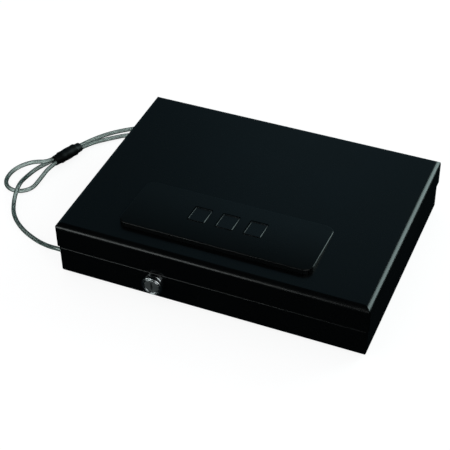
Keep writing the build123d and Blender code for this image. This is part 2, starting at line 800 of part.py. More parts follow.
with BuildPart() as control_panel:
    with BuildSketch(right_plane(panel_x - panel_half_width)):
        with BuildLine():
            Polyline(
                (panel_front_y, case_height),
                (panel_rear_y, case_height),
                (panel_rear_y, panel_top(panel_rear_y)),
                (panel_front_y, panel_top(panel_front_y)),
                close=True,
            )
        make_face()
    extrude(amount=2 * panel_half_width)
    with BuildSketch(Plane.XY.offset(case_height)):
        with Locations((panel_x, panel_mid_y)):
            RectangleRounded(2 * panel_half_width, panel_depth, panel_corner)
    extrude(amount=2 * panel_front_height, mode=Mode.INTERSECT)
    sloping = control_panel.faces().filter_by(lambda face: face.normal_at().Z > 0.9)
    fillet(sloping.edges(), radius=panel_edge)
    # hollow underneath, as deep as the wall below the sloping face allows
    hollow_rear_y = panel_rear_y - (panel_wall - panel_rear_height) / panel_slope - 0.5
    with BuildSketch(right_plane(panel_x - panel_half_width + panel_wall)):
        with BuildLine():
            Polyline(
                (panel_front_y + panel_wall, case_height),
                (hollow_rear_y, case_height),
                (hollow_rear_y, panel_top(hollow_rear_y) - panel_wall),
                (panel_front_y + panel_wall, panel_top(panel_front_y + panel_wall) - panel_wall),
                close=True,
            )
        make_face()
    extrude(amount=2 * (panel_half_width - panel_wall), mode=Mode.SUBTRACT)
    # screw bosses at the front and posts for the circuit board
    for x, y in panel_screw_spots:
        with BuildSketch(Plane.XY.offset(case_height)):
            with Locations((x, y)):
                Circle(panel_boss_radius)
        extrude(amount=panel_top(y) - case_height - panel_wall / 2)
    for x in (panel_x - panel_boss_x, panel_x + panel_boss_x):
        for y in panel_boss_y:
            with BuildSketch(Plane.XY.offset(board_top)):
                with Locations((x, y)):
                    Circle(panel_boss_radius)
            extrude(amount=panel_top(y) - board_top - panel_wall / 2)
            with BuildSketch(Plane.XY.offset(board_top)):
                with Locations((x, y)):
                    Circle(screw_radius)
            extrude(amount=screw_bite / 2, mode=Mode.SUBTRACT)
    with BuildSketch(Plane.XY.offset(case_height)):
        with Locations(*panel_screw_spots):
            Circle(panel_screw_radius)
    extrude(amount=panel_screw_bite, mode=Mode.SUBTRACT)
    # hooks that reach under the rear edge of the lid's cutout
    for x in (panel_x - hook_x, panel_x + hook_x):
        hook_top = lid_ceiling - hook_gap
        with BuildSketch(right_plane(x - hook_width / 2)):
            with BuildLine():
                Polyline(
                    (cutout_rear_y - hook_gap, case_height),
                    (cutout_rear_y - hook_gap, hook_top),
                    (cutout_rear_y + hook_reach, hook_top),
                    (cutout_rear_y + hook_reach, hook_top - hook_thickness),
                    (cutout_rear_y - hook_gap - hook_thickness, hook_top - hook_thickness),
                    (cutout_rear_y - hook_gap - hook_thickness, case_height),
                    close=True,
                )
            make_face()
        extrude(amount=hook_width)
    # button openings
    for x in button_x:
        with BuildSketch(button_plane(x, 2 * panel_wall)):
            RectangleRounded(
                button_width + 2 * button_gap, button_depth + 2 * button_gap,
                button_corner + button_gap,
            )
        extrude(amount=-5 * panel_wall, mode=Mode.SUBTRACT)
save(control_panel, "control_panel")

for number, x in enumerate(button_x, start=1):
    with BuildPart() as button:
        with BuildSketch(button_plane(x, -panel_wall - lip_gap)):
            RectangleRounded(button_width, button_depth, button_corner)
        extrude(amount=panel_wall + lip_gap + button_proud)
        crown = button.faces().sort_by(Axis.Z)[-1]
        fillet(crown.edges(), radius=button_edge)
        with BuildSketch(button_plane(x, button_proud)):
            RectangleRounded(
                button_width - 2 * button_dish_margin, button_depth - 2 * button_dish_margin,
                button_corner / 2,
            )
        extrude(amount=-button_dish, mode=Mode.SUBTRACT)
        with BuildSketch(button_plane(x, -panel_wall - lip_gap)):
            RectangleRounded(
                button_width + 2 * (button_gap + lip_margin),
                button_depth + 2 * (button_gap + lip_margin),
                button_corner,
            )
        extrude(amount=-lip)
    save(button, f"button_{number}")

    with BuildPart() as switch_plunger:
        with BuildSketch(button_plane(x, -panel_wall - lip_gap - lip)):
            Circle(plunger_pin_radius)
        underside = panel_top(button_y) - panel_wall - lip_gap - lip
        extrude(amount=-(underside - board_top - switch_height + plunger_pin_depth))
    save(switch_plunger, f"switch_plunger_{number}")

with BuildPart() as panel_screws:
    with BuildSketch(Plane.XY.offset(lid_ceiling)):
        with Locations(*panel_screw_spots):
            Circle(panel_screw_radius)
    extrude(amount=sheet + panel_screw_bite)
    with BuildSketch(Plane.XY.offset(lid_ceiling)):
        with Locations(*panel_screw_spots):
            Circle(panel_screw_head_radius)
    extrude(amount=-screw_head)
save(panel_screws, "panel_screws")

# ======================================================================= electronics
board_boss_spots = [
    (x, y) for x in (panel_x - panel_boss_x, panel_x + panel_boss_x) for y in panel_boss_y
]
with BuildPart() as circuit_board:
    with BuildSketch(Plane.XY.offset(board_bottom)):
        with Locations((panel_x, (board_front_y + board_rear_y) / 2)):
            RectangleRounded(2 * board_half_width, board_rear_y - board_front_y, 2.0)
        with Locations(*board_boss_spots):
            Circle(screw_radius, mode=Mode.SUBTRACT)
    extrude(amount=board_thickness)
save(circuit_board, "circuit_board")

with BuildPart() as board_screws:
    with BuildSketch(Plane.XY.offset(board_bottom)):
        with Locations(*board_boss_spots):
            Circle(screw_radius)
    extrude(amount=board_thickness + screw_bite / 2)
    with BuildSketch(Plane.XY.offset(board_bottom)):
        with Locations(*board_boss_spots):
            Circle(screw_head_radius)
    extrude(amount=-screw_head)
save(board_screws, "board_screws")

program_switch_low = board_bottom - program_switch_height
with BuildPart() as tact_switches:
    with BuildSketch(Plane.XY.offset(board_top)):
        with Locations(*[(x, button_y) for x in button_x]):
            Rectangle(switch_size, switch_size)
    extrude(amount=switch_height)
    with BuildSketch(Plane.XY.offset(board_top + switch_height)):
        with Locations(*[(x, button_y) for x in button_x]):
            Circle(plunger_pin_radius + switch_bore_play)
    extrude(
        amount=-(plunger_pin_depth + button_travel + switch_bore_play), mode=Mode.SUBTRACT
    )
    with BuildSketch(Plane.XY.offset(program_switch_low)):
        with Locations((program_x, program_y)):
            Rectangle(switch_size, switch_size)
    extrude(amount=program_switch_height)
save(tact_switches, "tact_switches")

with BuildPart() as control_chip:
    with BuildSketch(Plane.XY.offset(board_bottom)):
        with Locations((chip_x, chip_y)):
            Rectangle(chip_size[0], chip_size[1])
    extrude(amount=-chip_size[2])
save(control_chip, "control_chip")

with BuildPart() as buzzer:
    with BuildSketch(Plane.XY.offset(board_bottom)):
        with Locations((buzzer_x, buzzer_y)):
            Circle(buzzer_radius)
    extrude(amount=-buzzer_height)
    with BuildSketch(Plane.XY.offset(board_bottom - buzzer_height)):
        with Locations((buzzer_x, buzzer_y)):
            Circle(1.0)
    extrude(amount=1.5, mode=Mode.SUBTRACT)
save(buzzer, "buzzer")

# ======================================================================= inner housing
standoff_spots = [(x, y) for x in (-standoff_x, standoff_x) for y in standoff_y]
door_half_width = battery_inner_half_width - door_ledge
door_half_depth = battery_inner_half_depth - door_ledge
tab_slot_left = tab_face_x - tab_width - slot_margin
tab_slot_right = lock_x + cam_reach - 2.0
with BuildPart() as lid_housing:
    housing_mid_y = (housing_front_y + housing_rear_y) / 2
    with BuildSketch(Plane.XY.offset(housing_bottom)):
        with Locations((0, housing_mid_y)):
            RectangleRounded(2 * housing_half_width, housing_depth, housing_corner)
    extrude(amount=lid_ceiling - housing_top_gap - housing_bottom)
    fillet(lid_housing.edges().group_by(Axis.Z)[0], radius=housing_wall / 2)
    with BuildSketch(Plane.XY.offset(housing_floor)):
        with Locations((0, housing_mid_y)):
            RectangleRounded(
                2 * (housing_half_width - housing_wall), housing_depth - 2 * housing_wall,
                housing_corner - housing_wall,
            )
    extrude(amount=lid_ceiling - housing_floor, mode=Mode.SUBTRACT)
    with BuildSketch(Plane.XY.offset(housing_bottom)):
        # ways in for the strikers
        for x in striker_x:
            slot_front_y = housing_front_y + housing_wall
            slot_rear_y = striker_rear_y + slot_margin / 2
            with Locations((x + striker_sheet / 2, (slot_front_y + slot_rear_y) / 2)):
                Rectangle(striker_sheet + 2 * slot_margin, slot_rear_y - slot_front_y)
        # way out for the latch's tab, and in for the cam
        with Locations(((tab_slot_left + tab_slot_right) / 2, bar_mid_y)):
            Rectangle(tab_slot_right - tab_slot_left, bar_thickness + slot_margin)
        with Locations((0, battery_mid_y)):
            Rectangle(2 * door_half_width, 2 * door_half_depth)
        with Locations((program_x, program_y)):
            Circle(program_cap_radius + program_play)
        with Locations(*standoff_spots):
            Circle(screw_radius)
        with Locations((buzzer_x + buzzer_to_sound_hole, buzzer_y)):
            with GridLocations(3.0, 3.0, 3, 3):
                Circle(0.9)
    extrude(amount=housing_wall, mode=Mode.SUBTRACT)
save(lid_housing, "lid_housing")

with BuildPart() as lid_standoffs:
    with BuildSketch(Plane.XY.offset(housing_floor)):
        with Locations(*standoff_spots):
            RegularPolygon(standoff_radius, 6)
    extrude(amount=lid_ceiling - housing_floor)
    with BuildSketch(Plane.XY.offset(housing_floor)):
        with Locations(*standoff_spots):
            Circle(screw_radius)
    extrude(amount=screw_bite, mode=Mode.SUBTRACT)
save(lid_standoffs, "lid_standoffs")

with BuildPart() as housing_screws:
    with BuildSketch(Plane.XY.offset(housing_bottom)):
        with Locations(*standoff_spots):
            Circle(screw_radius)
    extrude(amount=housing_wall + screw_bite)
    with BuildSketch(Plane.XY.offset(housing_bottom)):
        with Locations(*standoff_spots):
            Circle(screw_head_radius)
    extrude(amount=-screw_head / 2)
    fillet(housing_screws.edges().group_by(Axis.Z)[0], radius=0.4)
    with BuildSketch(Plane.XY.offset(housing_bottom - screw_head / 2)):
        with Locations(*standoff_spots):
            Rectangle(2.6, 0.7)
            Rectangle(0.7, 2.6)
    extrude(amount=1.0, mode=Mode.SUBTRACT)
save(housing_screws, "housing_screws")

with BuildPart() as program_button:
    with BuildSketch(Plane.XY.offset(housing_bottom - program_cap_proud)):
        with Locations((program_x, program_y)):
            Circle(program_cap_radius)
    extrude(amount=program_cap_proud + housing_wall + lip_gap)
    fillet(program_button.edges().group_by(Axis.Z)[0], radius=0.4)
    with BuildSketch(Plane.XY.offset(housing_floor + lip_gap)):
        with Locations((program_x, program_y)):
            Circle(program_flange_radius)
    extrude(amount=program_flange)
    with BuildSketch(Plane.XY.offset(housing_floor + lip_gap + program_flange)):
        with Locations((program_x, program_y)):
            Circle(program_stem_radius)
    stem_low = housing_floor + lip_gap + program_flange
    extrude(amount=program_switch_low - program_stem_gap - stem_low)
save(program_button, "program_button")

# ---- batteries
cell_rows = (battery_mid_y - cell_pitch / 2, battery_mid_y + cell_pitch / 2)
battery_half_width = battery_inner_half_width + battery_wall
battery_half_depth = battery_inner_half_depth + battery_wall
with BuildPart() as battery_box:
    with BuildSketch(Plane.XY.offset(housing_floor)):
        with Locations((0, battery_mid_y)):
            RectangleRounded(2 * battery_half_width, 2 * battery_half_depth, 1.5)
    extrude(amount=battery_roof_z + battery_roof - housing_floor)
    with BuildSketch(Plane.XY.offset(housing_floor)):
        with Locations((0, battery_mid_y)):
            Rectangle(2 * battery_inner_half_width, 2 * battery_inner_half_depth)
    extrude(amount=battery_roof_z - housing_floor, mode=Mode.SUBTRACT)
save(battery_box, "battery_box")

with BuildPart() as battery_cells:
    for row, row_y in enumerate(cell_rows):
        nub_side = 1 if row == 0 else -1
        for column in (-1, 1):
            low_x = cell_gap / 2 if column > 0 else -cell_gap / 2 - cell_length - cell_nub
            body_x = low_x if nub_side > 0 else low_x + cell_nub
            with BuildSketch(right_plane(body_x)):
                with Locations((row_y, cell_z)):
                    Circle(cell_radius)
            extrude(amount=cell_length)
            nub_x = body_x + cell_length if nub_side > 0 else body_x
            with BuildSketch(right_plane(nub_x)):
                with Locations((row_y, cell_z)):
                    Circle(cell_nub_radius)
            extrude(amount=nub_side * cell_nub)
save(battery_cells, "battery_cells")

with BuildPart() as battery_contacts:
    for side in (-1, 1):
        plate_x = side * battery_inner_half_width
        for row_y in cell_rows:
            with BuildSketch(right_plane(plate_x)):
                with Locations((row_y, cell_z)):
                    Rectangle(contact_size, contact_size)
            extrude(amount=-side * contact)
            with BuildSketch(right_plane(plate_x - side * contact)):
                with Locations((row_y, cell_z)):
                    Circle(contact_stub_radius)
            extrude(amount=-side * contact_stub)
save(battery_contacts, "battery_contacts")

with BuildPart() as battery_door:
    with BuildSketch(Plane.XY.offset(housing_bottom)):
        with Locations((0, battery_mid_y)):
            RectangleRounded(2 * (door_half_width - door_gap), 2 * (door_half_depth - door_gap), 1.0)
    extrude(amount=housing_wall)
    with BuildSketch(Plane.XY.offset(housing_bottom)):
        with Locations((door_half_width - door_grip_inset, battery_mid_y)):
            with GridLocations(2.0, 0, 4, 1):
                Rectangle(0.9, door_grip)
    extrude(amount=0.5, mode=Mode.SUBTRACT)
save(battery_door, "battery_door")

# ======================================================================= latch
with BuildPart() as latch_chassis:
    with BuildSketch(Plane.XY.offset(chassis_top_flange)):
        with Locations(
            ((chassis_left_x + chassis_right_x) / 2, (chassis_front_y + web_rear_y) / 2)
        ):
            Rectangle(chassis_right_x - chassis_left_x, web_rear_y - chassis_front_y)
    extrude(amount=chassis_sheet)
    with BuildSketch(front_plane(web_front_y)):
        with Locations(
            ((chassis_left_x + chassis_right_x) / 2, (chassis_bottom + chassis_top_flange) / 2)
        ):
            Rectangle(chassis_right_x - chassis_left_x, chassis_top_flange - chassis_bottom)
        with Locations(*[(x, bar_axis_z) for x in guide_x]):
            Circle(guide_thread_radius, mode=Mode.SUBTRACT)
        with Locations(*[(x, bar_axis_z) for x in lead_x]):
            Circle(lead_radius + lead_hole_play, mode=Mode.SUBTRACT)
    extrude(amount=-chassis_sheet)
save(latch_chassis, "latch_chassis")

with BuildPart() as latch_guide_screws:
    spots = [(x, bar_axis_z) for x in guide_x]
    with BuildSketch(front_plane(web_front_y)):
        with Locations(*spots):
            Circle(guide_shoulder_radius)
    extrude(amount=2 * bar_to_web + bar_thickness)
    with BuildSketch(front_plane(bar_front_y - bar_to_web)):
        with Locations(*spots):
            Circle(guide_head_radius)
    extrude(amount=guide_head)
    with BuildSketch(front_plane(web_front_y)):
        with Locations(*spots):
            Circle(guide_thread_radius)
    extrude(amount=-chassis_sheet - guide_nut)
save(latch_guide_screws, "latch_guide_screws")

with BuildPart() as latch_guide_nuts:
    with BuildSketch(front_plane(web_rear_y)):
        with Locations(*[(x, bar_axis_z) for x in guide_x]):
            RegularPolygon(guide_nut_radius, 6)
        with Locations(*[(x, bar_axis_z) for x in guide_x]):
            Circle(guide_thread_radius, mode=Mode.SUBTRACT)
    extrude(amount=-guide_nut)
save(latch_guide_nuts, "latch_guide_nuts")

slot_radius = guide_shoulder_radius + guide_slot_play
with BuildPart() as latch_bar:
    with BuildSketch(front_plane(bar_front_y)):
        with Locations(((bar_left_x + bar_right_x) / 2, bar_axis_z)):
            Rectangle(bar_right_x - bar_left_x, bar_height)
        # the tab that hangs down to the lock's cam
        tab_low = base_top - tab_tip_below_rim
        with Locations((tab_face_x - tab_width / 2, (tab_low + bar_axis_z) / 2)):
            Rectangle(tab_width, bar_axis_z - tab_low)
        for x in guide_x:
            with Locations((x - latch_throw / 2, bar_axis_z)):
                SlotCenterToCenter(latch_throw, 2 * slot_radius, mode=Mode.SUBTRACT)
        with Locations((link_x, bar_axis_z)):
            Circle(link_pin_radius, mode=Mode.SUBTRACT)
    extrude(amount=-bar_thickness)
    # tongues that slide into the strikers' windows
    for x in striker_x:
        tip_x = x - tongue_tip_gap
        root_x = tip_x - tongue_length
        with BuildSketch(Plane.XY.offset(bar_axis_z - tongue_height / 2)):
            with BuildLine():
                Polyline(
                    (root_x - tongue_root, bar_front_y),
                    (root_x - tongue_root, tongue_y - tongue_width / 2),
                    (tip_x, tongue_y - tongue_width / 2),
                    (tip_x, tongue_y + tongue_width / 2),
                    (root_x, tongue_y + tongue_width / 2),
                    (root_x, bar_front_y),
                    close=True,
                )
            make_face()
        extrude(amount=tongue_height)
save(latch_bar, "latch_bar")

# ---- solenoid
solenoid_mid = (solenoid_axis_y, bar_axis_z)
plunger_left_x = solenoid_right_x + plunger_exposed - plunger_length
with BuildPart() as solenoid_frame:
    for x in (solenoid_left_x, coil_right_x):
        with BuildSketch(right_plane(x)):
            with Locations(solenoid_mid):
                Rectangle(solenoid_depth, solenoid_height)
        extrude(amount=solenoid_plate)
    with BuildSketch(front_plane(web_front_y)):
        with Locations(((solenoid_left_x + solenoid_right_x) / 2, bar_axis_z)):
            Rectangle(solenoid_length, solenoid_height)
        with Locations(*[(x, bar_axis_z) for x in lead_x]):
            Circle(lead_radius + lead_hole_play, mode=Mode.SUBTRACT)
    extrude(amount=solenoid_plate / 4)
    with BuildSketch(right_plane(coil_right_x)):
        with Locations(solenoid_mid):
            Circle(plunger_radius + coil_bore_play)
    extrude(amount=solenoid_plate, mode=Mode.SUBTRACT)
save(solenoid_frame, "solenoid_frame")

with BuildPart() as solenoid_coil:
    with BuildSketch(right_plane(coil_left_x)):
        with Locations(solenoid_mid):
            Circle(coil_radius)
    extrude(amount=coil_right_x - coil_left_x)
    with BuildSketch(right_plane(plunger_left_x - 1.0)):
        with Locations(solenoid_mid):
            Circle(plunger_radius + coil_bore_play)
    extrude(amount=coil_right_x - plunger_left_x + 1.0, mode=Mode.SUBTRACT)
save(solenoid_coil, "solenoid_coil")

with BuildPart() as solenoid_plunger:
    with BuildSketch(right_plane(plunger_left_x)):
        with Locations(solenoid_mid):
            Circle(plunger_radius)
    extrude(amount=plunger_length)
    with BuildSketch(right_plane(solenoid_right_x + spring_space)):
        with Locations(solenoid_mid):
            Circle(plunger_collar_radius)
    extrude(amount=plunger_collar)
    with BuildSketch(front_plane(solenoid_axis_y)):
        with Locations((link_x, bar_axis_z)):
            Circle(link_pin_radius)
    extrude(amount=2 * plunger_radius, both=True, mode=Mode.SUBTRACT)
save(solenoid_plunger, "solenoid_plunger")

with BuildPart() as link_pin:
    with BuildSketch(front_plane(bar_rear_y)):
        with Locations((link_x, bar_axis_z)):
            Circle(link_pin_radius)
    extrude(amount=bar_rear_y - solenoid_axis_y + plunger_radius)
save(link_pin, "link_pin")

spring_coil_length = spring_space - 2 * spring_wire_radius
with BuildPart() as latch_spring:
    with BuildLine() as spring_path:
        Helix(
            pitch=spring_pitch, height=spring_coil_length, radius=spring_radius,
            center=(solenoid_right_x + spring_wire_radius, solenoid_axis_y, bar_axis_z),
            direction=(1, 0, 0),
        )
    with BuildSketch(Plane(origin=spring_path.line @ 0, z_dir=spring_path.line % 0)):
        Circle(spring_wire_radius)
    sweep(path=spring_path.line, is_frenet=True)
save(latch_spring, "latch_spring")

# ======================================================================= wiring
def lead(points, bend):
    """A thin lead along the points, each corner rounded to the bend radius."""
    with BuildPart() as wire:
        with BuildLine() as path:
            FilletPolyline(*points, radius=bend)
        with BuildSketch(Plane(origin=path.line @ 0, z_dir=path.line % 0)):
            Circle(lead_radius)
        sweep(path=path.line)
    return wire.part


solenoid_lead_parts = [
    lead(
        [
            (panel_x - board_half_width + 2.0, row_y, board_bottom - lead_radius),
            (x, row_y, board_bottom - lead_radius),
            (x, row_y, bar_axis_z),
            (x, solenoid_axis_y + coil_radius + 0.1, bar_axis_z),
        ],
        lead_bend,
    )
    for x, row_y in zip(lead_x, (board_front_y + 2.0, board_front_y + 2.0 + lead_spacing))
]
with BuildPart() as solenoid_leads:
    for part in solenoid_lead_parts:
        add(part)
save(solenoid_leads, "solenoid_leads")

battery_lead_x = -battery_half_width - battery_lead_reach
battery_lead_y = battery_mid_y + battery_lead_offset
battery_lead_parts = [
    lead(
        [
            (-battery_half_width, row_y, cell_z),
            (battery_lead_x, row_y, cell_z),
            (battery_lead_x, row_y, board_bottom),
        ],
        lead_bend,
    )
    for row_y in (battery_lead_y, battery_lead_y + lead_spacing)
]
with BuildPart() as battery_leads:
    for part in battery_lead_parts:
        add(part)
save(battery_leads, "battery_leads")

# ======================================================================= security cable
with BuildPart() as cable_grommet:
    with BuildSketch(right_plane(wall_left)):
        with Locations((cable_exit_y, cable_exit_z)):
            Circle(grommet_radius)
    extrude(amount=sheet)
    for x, away in ((wall_left, -1), (wall_left + sheet, 1)):
        with BuildSketch(right_plane(x)):
            with Locations((cable_exit_y, cable_exit_z)):
                Circle(grommet_flange_radius)
        extrude(amount=away * grommet_flange)
    fillet(cable_grommet.edges().group_by(Axis.X)[0], radius=0.8)
    with BuildSketch(right_plane(wall_left)):
        with Locations((cable_exit_y, cable_exit_z)):
            Circle(cable_radius + grommet_bore_play)
    extrude(amount=4 * grommet_flange, both=True, mode=Mode.SUBTRACT)
save(cable_grommet, "cable_grommet")

with BuildPart() as cable_stop:
    with BuildSketch(right_plane(stop_face_x)):
        with Locations((cable_exit_y, cable_exit_z)):
            Circle(stop_radius)
    extrude(amount=stop_length)
    fillet(cable_stop.edges().group_by(Axis.X)[-1], radius=0.8)
    with BuildSketch(right_plane(stop_face_x)):
        with Locations((cable_exit_y, cable_exit_z)):
            Circle(cable_radius)
    extrude(amount=stop_grip, mode=Mode.SUBTRACT)
save(cable_stop, "cable_stop")

# ---- cable: straight runs joined by tangent arcs, each as large as its two runs allow
route = [Vector(*point) for point in cable_route]
runs = [after - before for before, after in zip(route, route[1:])]
bend_radii = []
for before, after in zip(runs, runs[1:]):
    turn = before.get_angle(after)
    shorter = min(before.length, after.length)
    bend_radii.append(0.45 * shorter / tan(radians(turn) / 2))
    print(f"run {before.length:6.1f}  turn {turn:5.1f}  radius {bend_radii[-1]:7.1f}")

with BuildPart() as security_cable:
    with BuildLine() as cable_path:
        FilletPolyline(*cable_route, radius=bend_radii)
    with BuildSketch(Plane(origin=cable_path.line @ 0, z_dir=cable_path.line % 0)):
        Circle(cable_radius)
    sweep(path=cable_path.line)
cable_length = sum(edge.length for edge in cable_path.edges())
cable_section = pi * cable_radius**2
print(f"cable length {cable_length:.1f}, tightest bend {min(bend_radii):.1f}")
cable_volume = security_cable.part.volume
print(f"cable volume {cable_volume:.1f}, section x length {cable_section * cable_length:.1f}")
save(security_cable, "security_cable")

# ---- crimp sleeve: a barrel with a tapered neck at each end, over both strands of the eye
sleeve_axis = sleeve_end - sleeve_start
sleeve_length = sleeve_axis.length
sleeve_along = sleeve_axis.normalized()
sleeve_across = Vector(sleeve_along.Y, -sleeve_along.X, 0).normalized()
with BuildPart() as crimp_sleeve:
    with BuildSketch(Plane(origin=sleeve_start, x_dir=sleeve_along, z_dir=-sleeve_across)):
        with BuildLine():
            Polyline(
                (0, 0),
                (0, sleeve_neck_radius),
                (sleeve_neck_length, sleeve_neck_radius + 0.3),
                (sleeve_neck_length + sleeve_taper, sleeve_radius),
                (sleeve_length - sleeve_neck_length - sleeve_taper, sleeve_radius),
                (sleeve_length - sleeve_neck_length, sleeve_small_neck_radius),
                (sleeve_length, sleeve_small_neck_radius),
                (sleeve_length, 0),
                close=True,
            )
        make_face()
    revolve(axis=Axis(sleeve_start, sleeve_along))
    add(security_cable.part, mode=Mode.SUBTRACT)
save(crimp_sleeve, "crimp_sleeve")
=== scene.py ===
"""Portable steel security case: its visual model, laid out as a Blender add-on and run as a script.

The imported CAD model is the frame. +X runs right along the front, +Y to the back and +Z up, and
the origin is the middle of the case's underside. Sizes are in metres unless a name says mm.
"""

from math import atan, cos, exp, pi, radians, sin

import bmesh
import bpy
from mathutils import Matrix, Vector


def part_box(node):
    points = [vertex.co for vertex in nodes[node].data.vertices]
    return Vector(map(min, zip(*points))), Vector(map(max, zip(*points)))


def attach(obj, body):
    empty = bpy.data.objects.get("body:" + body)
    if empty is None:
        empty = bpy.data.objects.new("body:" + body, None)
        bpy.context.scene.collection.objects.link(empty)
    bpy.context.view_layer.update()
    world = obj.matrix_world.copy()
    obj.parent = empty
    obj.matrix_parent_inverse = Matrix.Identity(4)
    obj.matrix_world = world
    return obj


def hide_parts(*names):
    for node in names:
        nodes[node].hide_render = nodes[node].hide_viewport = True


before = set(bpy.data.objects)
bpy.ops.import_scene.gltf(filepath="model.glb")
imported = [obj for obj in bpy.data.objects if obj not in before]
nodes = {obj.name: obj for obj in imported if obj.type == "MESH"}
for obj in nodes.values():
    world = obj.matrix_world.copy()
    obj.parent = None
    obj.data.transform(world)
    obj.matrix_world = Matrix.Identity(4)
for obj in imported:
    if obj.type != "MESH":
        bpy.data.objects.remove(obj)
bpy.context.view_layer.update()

bl_info = {
    "name": "Portable security case",
    "version": (1, 0, 0),
    "blender": (4, 5, 0),
    "location": "3D View > Sidebar > Security case",
    "description": "Builds a steel security case with a keypad, a key lock and a cable",
    "category": "Object",
}

MM = 0.001
WAVE_RING = 0.314  # width of one ring of a wave texture at scale 1, in metres


# ======================================================================= shared helpers
def linear(hex_colour, alpha=None):
    """An sRGB hex colour as linear numbers, with alpha if a socket wants it."""
    parts = [int(hex_colour[i:i + 2], 16) / 255 for i in (1, 3, 5)]
    parts = [c / 12.92 if c <= 0.04045 else ((c + 0.055) / 1.055) ** 2.4 for c in parts]
    return tuple(parts) if alpha is None else (*parts, alpha)


def add(material, kind, inputs=None, **settings):
    """Add one node with its settings; inputs gives sockets a value or another node's output."""
    item = material.node_tree.nodes.new(kind)
    for name, value in settings.items():
        setattr(item, name, value)
    for name, value in (inputs or {}).items():
        if isinstance(value, bpy.types.NodeSocket):
            material.node_tree.links.new(value, item.inputs[name])
        else:
            item.inputs[name].default_value = value
    return item


def combine(material, operation, first, second):
    """Two values or sockets put together by one operation, such as ADD or MULTIPLY."""
    return add(material, "ShaderNodeMath", {0: first, 1: second}, operation=operation).outputs[0]


def ramp(material, value, start, end, low=0.0, high=1.0):
    """A smooth change from low, where the value is start, to high, where it is end."""
    return add(material, "ShaderNodeMapRange", {
        "Value": value, "From Min": start, "From Max": end, "To Min": low, "To Max": high,
    }, interpolation_type="SMOOTHSTEP").outputs["Result"]


def new_material(name):
    """An empty node material and its output node."""
    material = bpy.data.materials.new(name)
    material.use_nodes = True
    material.node_tree.nodes.clear()
    return material, add(material, "ShaderNodeOutputMaterial")


def finish(name, colour, second, rough, grain_mm, bump_mm, patch_mm=30.0, rings=None,
           crown=None, **sockets):
    """A painted, moulded or plated surface.

    Colour drifts to a second colour over patches, roughness between two values with them, and
    the grain stands bump_mm proud. rings is (centre, gap) of a face turned on a lathe, whose
    tool marks lie that gap apart. crown is (rear y, curvature per metre) of a face that rolls
    forward in front of rear y.
    """
    material, output = new_material(name)
    place = add(material, "ShaderNodeTexCoord").outputs["Object"]
    patch = add(material, "ShaderNodeTexNoise", {
        "Vector": place, "Scale": 1 / (patch_mm * MM), "Detail": 3.0, "Roughness": 0.55,
    })
    grain = add(material, "ShaderNodeTexNoise", {
        "Vector": place, "Scale": 1 / (grain_mm * MM), "Detail": 2.0, "Roughness": 0.5,
    })
    tone = add(material, "ShaderNodeMix", {
        0: patch.outputs["Fac"], 6: linear(colour, 1), 7: linear(second, 1),
    }, data_type="RGBA")
    gloss = add(material, "ShaderNodeMapRange", {
        "Value": patch.outputs["Fac"], "From Min": 0.3, "From Max": 0.7,
        "To Min": rough[0], "To Max": rough[1],
    })
    height = grain.outputs["Fac"]
    if rings:
        centre, gap = rings
        centred = add(material, "ShaderNodeMapping", {"Vector": place, "Location": -centre})
        marks = add(material, "ShaderNodeTexWave", {
            "Vector": centred.outputs["Vector"], "Scale": WAVE_RING / gap, "Distortion": 0.6,
        }, wave_type="RINGS", rings_direction="Y")
        height = combine(material, "ADD", marks.outputs["Fac"], height)
    distance = bump_mm * MM
    if crown:
        rear, curvature = crown
        y = add(material, "ShaderNodeSeparateXYZ", {0: place}).outputs["Y"]
        ahead = combine(material, "MAXIMUM", combine(material, "SUBTRACT", rear, y), 0.0)
        square = combine(material, "MULTIPLY", ahead, ahead)
        fall = combine(material, "MULTIPLY", square, -curvature / 2)
        fine = combine(material, "MULTIPLY", height, distance)
        height = combine(material, "ADD", fine, fall)
        distance = 1.0
    bump = add(material, "ShaderNodeBump", {
        "Height": height, "Distance": distance, "Strength": 1.0,
    })
    shader = add(material, "ShaderNodeBsdfPrincipled", {
        "Base Color": tone.outputs[2], "Roughness": gloss.outputs[0],
        "Normal": bump.outputs["Normal"], **sockets,
    })
    material.node_tree.links.new(shader.outputs["BSDF"], output.inputs["Surface"])
    return material


def dress(material, *names):
    """Put this material on CAD nodes."""
    for name in names:
        mesh = nodes[name].data
        mesh.materials.clear()
        mesh.materials.append(material)


def deselect():
    """Leave nothing selected, so that the next operator acts on its own piece only."""
    if bpy.context.object and bpy.context.object.mode != "OBJECT":
        bpy.ops.object.mode_set(mode="OBJECT")
    bpy.ops.object.select_all(action="DESELECT")


def named(name):
    """Name the object that an operator has just added, and its data."""
    piece = bpy.context.object
    piece.name = name
    piece.data.name = name
    return piece


def settle(piece):
    """Bring a finished piece's place, turn and scale into its mesh."""
    deselect()
    piece.select_set(True)
    bpy.context.view_layer.objects.active = piece
    bpy.ops.object.transform_apply(location=True, rotation=True, scale=True)
    return piece


def apply_modifiers(piece):
    """Apply every modifier on a piece, in order."""
    deselect()
    piece.select_set(True)
    bpy.context.view_layer.objects.active = piece
    for modifier in list(piece.modifiers):
        bpy.ops.object.modifier_apply(modifier=modifier.name)


# ======================================================================= properties
class CaseFinishes(bpy.types.PropertyGroup):
    """How the powder coat looks"""

    coat_roughness: bpy.props.FloatProperty(
        name="Coat roughness", description="How matt the powder coat is", default=0.27,
        min=0.05, max=1.0, subtype="FACTOR",
    )
    coat_gloss: bpy.props.FloatProperty(
        name="Coat gloss", description="How strongly the coat reflects", default=0.42,
        min=0.0, max=1.0, subtype="FACTOR",
    )


